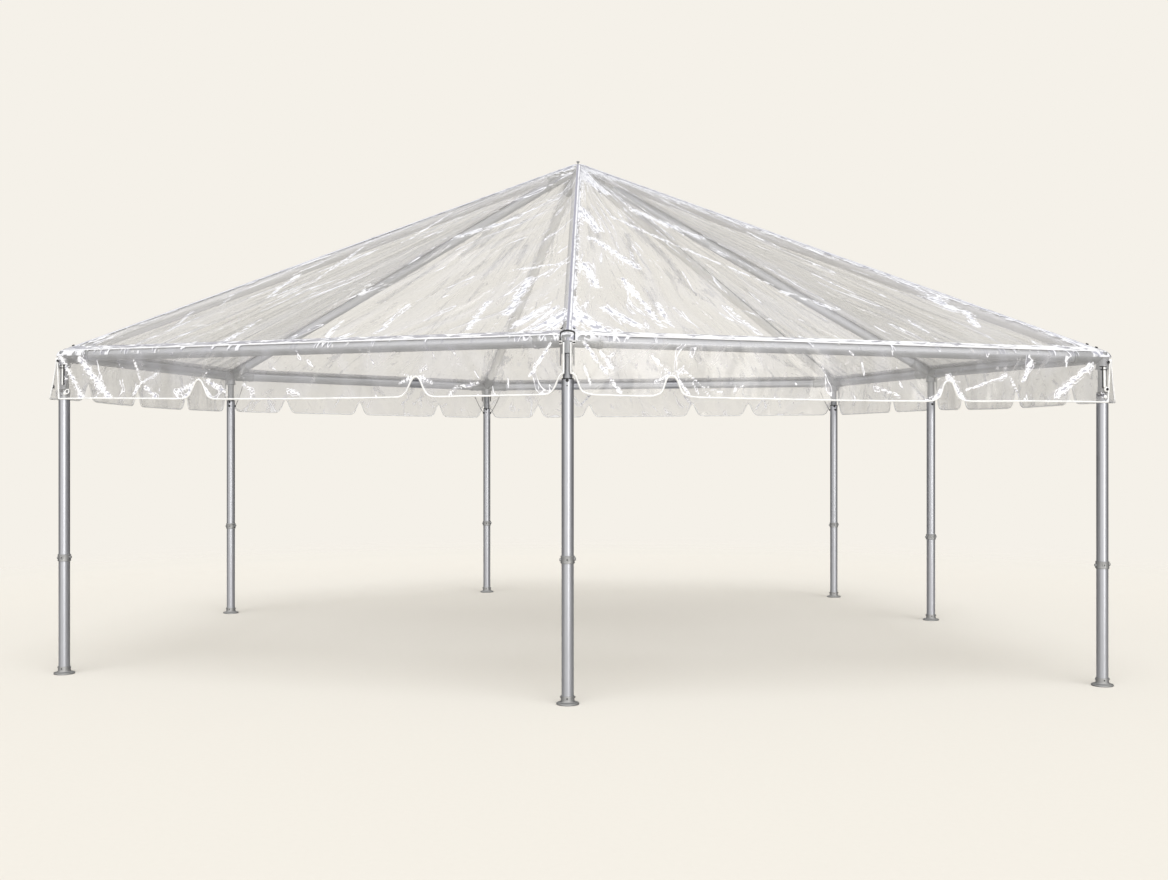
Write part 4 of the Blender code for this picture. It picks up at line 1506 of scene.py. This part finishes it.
# %% [markdown]
# Where the two lengths of a leg meet, a cast collar is fixed round them. It has a bead at each rim,
# a boss with a pin hole in front and a lug at each side. A hole could be cut with a Boolean, but at
# this size a thin dark button reads the same and keeps the casting's mesh clean. Its black is painted
# shade, the dark inside of the hole, and the rim of the leg and its foot get such holes too.

# %% Leg collars
COLLAR_RADIUS = 0.0445
COLLAR_WAIST = COLLAR_RADIUS - 0.0012
COLLAR_HEIGHT = 0.050
TUBE_BORE = 0.0383

for k, name in enumerate(LEGS):
    half = COLLAR_HEIGHT / 2
    leg_axis = HEADS[k] * (1, 1, 0)
    middle = leg_axis + (box(f"lower_leg_{name}")[1][2] - half) * UP
    lower = [(TUBE_BORE, -half), (COLLAR_RADIUS - 0.003, -half), (COLLAR_RADIUS, -half + 0.003)]
    lower += [(COLLAR_RADIUS, -half + 0.008), (COLLAR_WAIST, -half + 0.012)]
    upper = [(COLLAR_WAIST, half - 0.012), (COLLAR_RADIUS, half - 0.008), (COLLAR_RADIUS, half - 0.003)]
    upper += [(COLLAR_RADIUS - 0.004, half), (TUBE_BORE, half)]
    collar = [turned(lower + upper, middle, UP, sides=64, loop=True)]
    collar.append(button(middle + 0.041 * FRONT + 0.001 * UP, FRONT, 0.0125, 0.0060, 32))
    collar.append(button(middle + 0.040 * RIGHT + 0.004 * UP, RIGHT, 0.0115, 0.0115, 24))
    collar.append(button(middle - 0.040 * RIGHT - 0.002 * UP, -RIGHT, 0.0100, 0.0115, 24))
    make_piece(f"collar_{name}", collar, CAST_SKIN, sharp=30.0)
    rim = HEADS[k] - RIM_DROP * UP
    holes = [
        button(middle + 0.0465 * FRONT + 0.001 * UP, FRONT, 0.0050, 0.0009),
        button(middle + 0.0508 * RIGHT + 0.004 * UP, RIGHT, 0.0040, 0.0010),
        button(rim + 0.0372 * FRONT - 0.007 * UP, FRONT, 0.0105, 0.0040),
        button(rim + 0.0378 * FRONT - 0.040 * UP, FRONT, 0.0045, 0.0007),
        button(leg_axis + 0.0420 * FRONT + 0.040 * UP, FRONT, 0.0050, 0.0010),
    ]
    make_piece(f"leg_holes_{name}", holes, RUBBER, sharp=30.0)
    pins = [button(leg_axis + 0.0415 * side + 0.046 * UP, side, 0.0065, 0.0065) for side in (-RIGHT, RIGHT)]
    make_piece(f"foot_pins_{name}", pins, BOLT_SKIN, sharp=30.0)

print("collars:", COUNT)

# %% [markdown]
# The head casting joins leg, rails and rafter. A bush sits in the leg, a slimmer spigot carries a
# round body, and three sockets leave it. The real one is a single casting, whose joints could be
# blended by a remesh, but crisp turned parts that run into each other look like it from any
# distance at which it is seen, and they keep their maps.

# %% Head castings
SOCKET_RADIUS = 0.0412
SOCKET_LIP = 0.0430
SOCKET_END = 0.22
BODY_RADIUS = 0.0408
BODY_DROP = 0.065
BUSH_DEPTH = 0.12
SPIGOT_RADIUS = 0.0305
SHOULDER = -BODY_DROP - 0.0138  # where the spigot meets the body, from the head's middle


def socket(start, direction, bore_start, end, start_radius=0.036):
    """A cast socket with a lip and a bore that takes a tube."""
    profile = [(0.0, 0.02), (start_radius, 0.02)]
    profile += [(SOCKET_RADIUS, bore_start * 0.8), (SOCKET_RADIUS, end - 0.020)]
    profile += [(SOCKET_LIP, end - 0.016), (SOCKET_LIP, end - 0.002), (SOCKET_LIP - 0.002, end)]
    profile += [(0.0392, end), (0.0384, end - 0.001), (0.0384, bore_start), (0.0, bore_start)]
    return turned(rounded(profile, 0.0012), start, direction)


def head_profile():
    """Radius and height of a head casting from the end of its bush up to its dome."""
    rim = -RIM_DROP
    bush_end = rim - BUSH_DEPTH
    bush = [(0.0, bush_end), (0.0342, bush_end), (0.0345, bush_end + 0.003), (0.0345, rim)]
    spigot = [(SPIGOT_RADIUS, rim + 0.004), (SPIGOT_RADIUS, rim + 0.045), (0.0285, rim + 0.050)]
    spigot += [(0.0285, SHOULDER - 0.022), (SPIGOT_RADIUS, SHOULDER - 0.014)]
    spigot += [(SPIGOT_RADIUS, SHOULDER - 0.003)]
    body = [(0.0425, SHOULDER), (0.0432, SHOULDER + 0.003), (0.0432, SHOULDER + 0.010)]
    body += [(BODY_RADIUS, SHOULDER + 0.014), (BODY_RADIUS, 0.010)]
    dome = [(0.0395, 0.022), (0.0330, 0.033), (0.0200, 0.040), (0.0, 0.042)]
    return rounded(bush + spigot + body + dome, 0.0010)


for k, name in enumerate(LEGS):
    casting = [turned(head_profile(), HEADS[k], UP, sides=64)]
    for direction in (ALONG[k], -ALONG[k - 1], RAFTER[k]):
        casting.append(socket(HEADS[k], direction, SOCKET_BORE, SOCKET_END))
    make_piece(f"head_casting_{name}", casting, HEAD_SKIN, [f"eave_fitting_{name}"], sharp=30.0)

print("head castings:", COUNT)

# %% [markdown]
# A rubber seat covers the rim of each leg, a thin dark seam goes round the body, and bolts go
# through the sockets and hold the tubes. Threads and washers could be modelled too, but the real
# ones show only as heads.

# %% Seats and bolts of the heads
BOLT_FLOOR = 0.0405  # from a socket's axis to the foot of a bolt's head


def under_bolts(start, way, down, distances):
    """Bolt heads under a socket, at some distances along it."""
    return [bolt_head(start + way * distance + BOLT_FLOOR * down, down) for distance in distances]


for k, name in enumerate(LEGS):
    head, rim = HEADS[k], -RIM_DROP
    seat = [(0.0310, rim), (0.0385, rim + 0.0004), (0.0388, rim + 0.0050)]
    seat += [(0.0370, rim + 0.0065), (0.0310, rim + 0.0065)]
    seam = [(0.0405, SHOULDER - 0.0012), (0.0436, SHOULDER - 0.0008)]
    seam += [(0.0437, SHOULDER + 0.0012), (0.0420, SHOULDER + 0.0016)]
    black = [turned(profile, head, UP, 64, loop=True) for profile in (seat, seam)]
    make_piece(f"leg_seat_{name}", black, RUBBER, sharp=30.0)
    bolts = []
    for way in (-1, 1):
        spot = unit(OUT_OF_LEG[k] + 0.95 * way * np.cross(UP, OUT_OF_LEG[k]))
        bolts.append(bolt_head(head + 0.0400 * spot, spot, 0.0065, 0.0030))
        bolts.append(bolt_head(head + 0.0400 * spot - 0.045 * UP, spot, 0.0055, 0.0030))
    for side, way in ((k, ALONG[k]), (k - 1, -ALONG[k - 1])):
        bolts += under_bolts(head, way, -UP, (0.125, 0.190))
        bolts.append(bolt_head(head + way * 0.155 - OUTWARD[side] * 0.0408, -OUTWARD[side]))
    bolts += under_bolts(head, RAFTER[k], -OVER_RAFTER[k], (0.135, 0.190))
    make_piece(f"head_bolts_{name}", bolts, BOLT_SKIN, sharp=20.0)

print("bolts on each head:", len(bolts))

# %% [markdown]
# The crown has a boss with one socket for each rafter, and a small knob that stands through the hole
# in the top of the cover and keeps its edge down. Boss and knob are one profile, because they are
# one turned part, and the sockets are the heads' own, only longer.

# %% Crown
CROWN_END = 0.34  # of its sockets
boss = [(0.0, -0.075), (0.033, -0.075), (0.035, -0.073), (0.035, 0.018), (0.033, 0.020), (0.018, 0.0225)]
knob = [(0.006, 0.026), (0.006, 0.0510), (0.0105, 0.0515), (0.0135, 0.0535), (0.0135, 0.0575)]
knob += [(0.0118, 0.0610), (0.0070, 0.0630), (0.0, 0.0635)]

crown_parts = [turned(rounded(boss + knob, 0.0012), PEAK, UP, sides=64)]
crown_bolts = [bolt_head(PEAK - 0.0745 * UP, -UP, 0.011, 0.007)]
for k in range(COUNT):
    crown_parts.append(socket(PEAK, -RAFTER[k], CROWN_BORE, CROWN_END, 0.034))
    crown_bolts += under_bolts(PEAK, -RAFTER[k], -OVER_RAFTER[k], (0.235, 0.305))
make_piece("crown_casting", crown_parts, CAST_SKIN, ["crown"], sharp=30.0)
make_piece("crown_bolts", crown_bolts, BOLT_SKIN, sharp=20.0)
print("crown: sockets", COUNT)

# %% [markdown]
# Straps are flat, and none of them is a sheet of its own: each is a squashed bead, carried along a
# path. A plane with Solidify would do as well, but its corners would be square, and a bead closes
# itself at both ends. Most straps lie on a flap of the valance or over the cover's edge.

# %% Straps
STRAP_SIDES = 16


def strap(path, out, width, thickness):
    """A flat strap along a path, as a squashed bead: its rings are superellipses, half a width
    across the path and half a thickness along out. The width may differ from point to point."""
    out = np.broadcast_to(out, path.shape)
    side_way = unit(np.cross(unit(np.gradient(path, axis=0)), out))
    width = np.broadcast_to(np.asarray(width, float), (len(path),))
    angle = np.linspace(0.0, 2 * np.pi, STRAP_SIDES, endpoint=False)
    wide = width[:, None] / 2 * np.sign(np.cos(angle)) * np.abs(np.cos(angle)) ** 0.35
    high = np.sign(np.sin(angle)) * np.abs(np.sin(angle)) ** 0.5 * thickness / 2
    rings = path[:, None] + wide[..., None] * side_way[:, None] + high[None, :, None] * out[:, None]
    return skinned(path, rings, 2 * width.max())


def flap_strap(k, stations, drops, width, thickness, lift):
    """A strap on a valance, through places on it."""
    path = hung(k, np.asarray(stations), np.asarray(drops)) + lift * OUTWARD[k]
    return strap(path, OUTWARD[k], width, thickness)


def both_flaps(leg):
    """The two valances that meet at a leg, which way along each is inwards, and a label's end."""
    return ((leg, 1, "after"), ((leg - 1) % COUNT, -1, "before"))


def station_at(flap, inwards, distance):
    """The station at a distance from a leg along one of its two flaps."""
    return distance if inwards > 0 else LEVEL_LENGTH[flap] - distance


def sew(flap, name, shape, finish):
    """Makes a small piece that is sewn to a valance."""
    SKIRT_EXTRAS[flap].append(make_piece(name, shape, finish, sharp=None))


def weld(name, shape, finish):
    """Makes a small piece that is fixed to the cover."""
    make_piece(name, shape, finish, sharp=None)


print("a strap is a bead with", STRAP_SIDES, "sides")

# %% [markdown]
# Each slit of the valance is bound with dark webbing behind the piping, with a clip on each flap.
# Over the leg, a broad black arch lies under the hem: a painted shadow, the dark gap between the film
# and the head casting. The arch is one strap that goes up one flap, over the hip and down the other,
# so its path is worked out on one flap and mirrored.

# %% Slit straps
LOOP_REACH = 0.044  # from the leg to each side of the loop
LOOP_START, LOOP_TURN, LOOP_RISE = -0.052, 0.016, 0.038  # runs up the cover
CLIP_DROP = 0.012
CLIP_PLACE = SLIT_SETBACK + 0.0195
BINDING_DROPS = (0.030, 0.155)
BINDING_ROWS = 24
TAB_ROWS = 5

quarter = np.linspace(0.0, np.pi / 2, 13)
straight = np.linspace(LOOP_START, LOOP_TURN, 10, endpoint=False)
loop_run = np.concatenate([straight, LOOP_TURN + LOOP_RISE * np.sin(quarter)])
loop_station = np.concatenate([np.full(10, LOOP_REACH), LOOP_REACH * np.cos(quarter)])


def half_loop(side, shares):
    """Half of the black arch, a painted shadow: its places over the cover, and the direction off the cover
    there.
    """
    side_rows = np.full(len(loop_run), side)
    path = cover_at(loop_run, side_rows, shares, 0.0044)
    return path, unit(path - cover_at(loop_run, side_rows, shares))


for k, name in enumerate(LEGS):
    if k in SQUARE_CORNERS:
        continue
    last = (k - 1) % COUNT
    first_half = half_loop(k, loop_station / LENGTH[k])
    other_half = half_loop(last, 1 - loop_station / LENGTH[last])
    path, out = (np.concatenate([first_half[part], other_half[part][-2::-1]]) for part in (0, 1))
    width = 0.0060 + 0.0200 * np.sin(np.pi * np.linspace(0.0, 1.0, len(path))) ** 4
    # The arch is painted shadow: black where the film arches over the head casting.
    weld(f"slit_shadow_arch_{name}", strap(path, out, width, 0.0036), RUBBER)
    for flap, inwards, end in both_flaps(k):
        place = station_at(flap, inwards, CLIP_PLACE)
        drops = np.linspace(*BINDING_DROPS, BINDING_ROWS)
        binding = flap_strap(flap, np.full(BINDING_ROWS, place), drops, 0.011, 0.0016, -0.0020)
        sew(flap, f"slit_webbing_{name}_{end}", binding, WEBBING)
        sides = np.array((-1, 0, 1))
        pad = flap_strap(flap, place + 0.010 * sides, np.full(3, CLIP_DROP), 0.022, 0.0016, 0.0016)
        sew(flap, f"slit_pad_{name}_{end}", pad, WELT)
        clip = flap_strap(flap, place + 0.008 * sides, np.full(3, CLIP_DROP), 0.0080, 0.0040, 0.0030)
        sew(flap, f"slit_clip_{name}_{end}", clip, RUBBER)
    tabs = []
    for flap, inwards, _ in both_flaps(k):
        shares = (inwards * np.linspace(0.046, 0.036, TAB_ROWS) / LENGTH[flap]) % 1.0
        path = cover_at(np.linspace(0.086, 0.106, TAB_ROWS), np.full(TAB_ROWS, flap), shares, 0.0024)
        tabs.append(strap(path, NORMAL[flap], 0.0095, 0.0026))
    weld(f"seam_tabs_{name}", tabs, RUBBER)

print("slits:", COUNT - len(SQUARE_CORNERS))

# %% [markdown]
# The two square corners have no slit. Their front flaps carry eyelets, a patch, a ring and a knot
# instead, and a white band with a black strip and two bars beside it. The white band is a painted
# highlight and the long black strip a painted shade: the glint and the dark edge of the leg's spigot
# seen through the flap. All could be drawn for each corner by hand, and the two do differ, but only
# in their places and in one finish, so a short table says these and one loop makes both.

# %% Square corners
BAND_POINTS = 20
BAND_DROPS = np.linspace(0.060, 0.205, BAND_POINTS)
HIGH_EYELET, LOW_EYELET, RING_DROP, KNOT_DROP = 0.034, 0.215, 0.252, 0.266
CROSS_BARS = ((0.064, -0.004, 0.044), (0.085, -0.012, 0.038))  # drop, then both ends from the leg
CORNER_FIELDS = "flap low_flap eyelets ring ring_tilt ring_finish knot band band_width hip_bolts"
Corner = namedtuple("Corner", CORNER_FIELDS)

# Places are metres from the leg's axis, positive towards the middle of the flap. The eyelets are
# the upper and the lower one, and the lower one of the first corner is on its other flap.
CORNERS = {
    0: Corner(
        flap=0, low_flap=6, eyelets=(-0.020, -0.014), ring=0.052, ring_tilt=0.3, ring_finish=WELT,
        knot=0.030, band=(0.018, 0.009), band_width=0.0100, hip_bolts=(0.095,),
    ),
    2: Corner(
        flap=1, low_flap=1, eyelets=(-0.019, -0.020), ring=0.038, ring_tilt=1.8, ring_finish=WEBBING,
        knot=-0.008, band=(0.010, -0.001), band_width=0.0170, hip_bolts=(0.073, 0.138),
    ),
}


def on_flap(leg, flap, place, drop, lift):
    """A place on a flap, given from the leg, and a lift off it."""
    station = station_at(flap, 1 if flap == leg else -1, place)
    return hung(flap, station, drop) + lift * OUTWARD[flap]


def eyelet(leg, flap, way, place, drop):
    """An eyelet on a flap, a ring round a button, on its outer side or, where way is -1, inside."""
    out = way * OUTWARD[flap]
    rim = ring(on_flap(leg, flap, place, drop, way * 0.0036), out, 0.0066, 0.0030, 20)
    return [rim, button(on_flap(leg, flap, place, drop, way * 0.0020), out, 0.0066, 0.0034)]


for k, corner in CORNERS.items():
    name, flap, low_flap = LEGS[k], corner.flap, corner.low_flap
    out = OUTWARD[flap]
    low_way = 1 if low_flap == flap else -1
    eyelets = eyelet(k, flap, 1, corner.eyelets[0], HIGH_EYELET)
    eyelets += eyelet(k, low_flap, low_way, corner.eyelets[1], LOW_EYELET)
    sew(flap, f"corner_eyelets_{name}", eyelets, RUBBER)
    patch_place = on_flap(k, low_flap, corner.eyelets[1] + 0.006, LOW_EYELET, low_way * 0.0004)
    patch = button(patch_place, low_way * OUTWARD[low_flap], 0.0165, 0.0018)
    sew(flap, f"corner_patch_{name}", patch, WELT)
    ring_place = on_flap(k, flap, corner.ring, RING_DROP, 0.006)
    loop = ring(ring_place, out + corner.ring_tilt * UP, 0.0160, 0.0038)
    sew(flap, f"corner_ring_{name}", loop, corner.ring_finish)
    knot = button(on_flap(k, flap, corner.knot, KNOT_DROP, 0.0010), out, 0.0120, 0.0090)
    sew(flap, f"corner_knot_{name}", knot, WELT)
    # The white band is a painted highlight: the glint of the leg's spigot seen through the flap.
    band_places = np.linspace(*corner.band, BAND_POINTS)
    band = on_flap(k, flap, band_places, BAND_DROPS, 0.0022)
    sew(flap, f"corner_glint_band_{name}", strap(band, out, corner.band_width, 0.0016), WELT)
    # The long black strip beside it is a painted shade, the spigot's dark edge, and two bars cross it.
    beside = on_flap(k, flap, band_places + 0.013, BAND_DROPS, 0.0024)
    dark_band = [strap(beside, out, 0.0095, 0.0018)]
    for drop, first, last in CROSS_BARS:
        bar = on_flap(k, flap, np.linspace(first, last, 8), np.full(8, drop), 0.0026)
        dark_band.append(strap(bar, out, 0.0055, 0.0016))
    sew(flap, f"corner_dark_band_{name}", dark_band, RUBBER)
    fold = HEADS[k] + FOLD_FOOT[k] + 0.0010 * OVER_FOLD[k]
    bolts = [button(fold + RAFTER[k] * d, OVER_FOLD[k], 0.0095, 0.0075) for d in corner.hip_bolts]
    weld(f"hip_bolts_{name}", bolts, RUBBER)

print("square corners:", len(CORNERS))

# %% [markdown]
# Ties run from the back valances to knobs on the four back legs. They are webbing, fixed at both
# ends and nearly straight, so each is one short strap with a little sag, not a hanging cord.

# %% Ties
TIED_LEGS = (3, 4, 5, 6)
KNOB_DROP = 0.285
TIE_REACH = 0.140  # from the leg's axis to where it is sewn on
TIE_SAG = 0.012

for k in TIED_LEGS:
    name = LEGS[k]
    peg = HEADS[k] - KNOB_DROP * UP
    knobs = []
    for flap, inwards, end in both_flaps(k):
        level = unit(ALONG[flap] * (1, 1, 0)) * inwards
        knobs.append(button(peg + 0.0365 * level, level, 0.0100, 0.0120))
        top = hung(flap, station_at(flap, inwards, TIE_REACH), 0.085) - 0.0020 * OUTWARD[flap]
        low = peg + 0.0450 * level
        t = np.linspace(0.0, 1.0, 12)[:, None]
        path = top + (low - top) * t - UP * TIE_SAG * np.sin(np.pi * t)
        sew(flap, f"tie_{name}_{end}", strap(path, OUTWARD[flap], 0.0055, 0.0014), WEBBING)
    make_piece(f"leg_knobs_{name}", knobs, RUBBER, sharp=30.0)

print("ties:", 2 * len(TIED_LEGS))

# %% [markdown]
# The cover and the valances are sheets, each cut to a size. The cut of the cover is its seven flat
# triangles and the strip that wraps the rails. The cut of a valance is the area between its top and
# its scalloped edge, and each valance's cut is printed here.

# %% Sheets
for k, name in enumerate(SIDES):
    station = stations_along(k)
    drop = edge_drop(k, station)
    area = float(np.sum((drop[1:] + drop[:-1]) / 2 * np.diff(station)))
    flat = (float(np.ptp(station)), DROP)
    print(f"valance {name}: cut {flat[0]:.3f} by {flat[1]:.3f} m, {area:.3f} square metres")
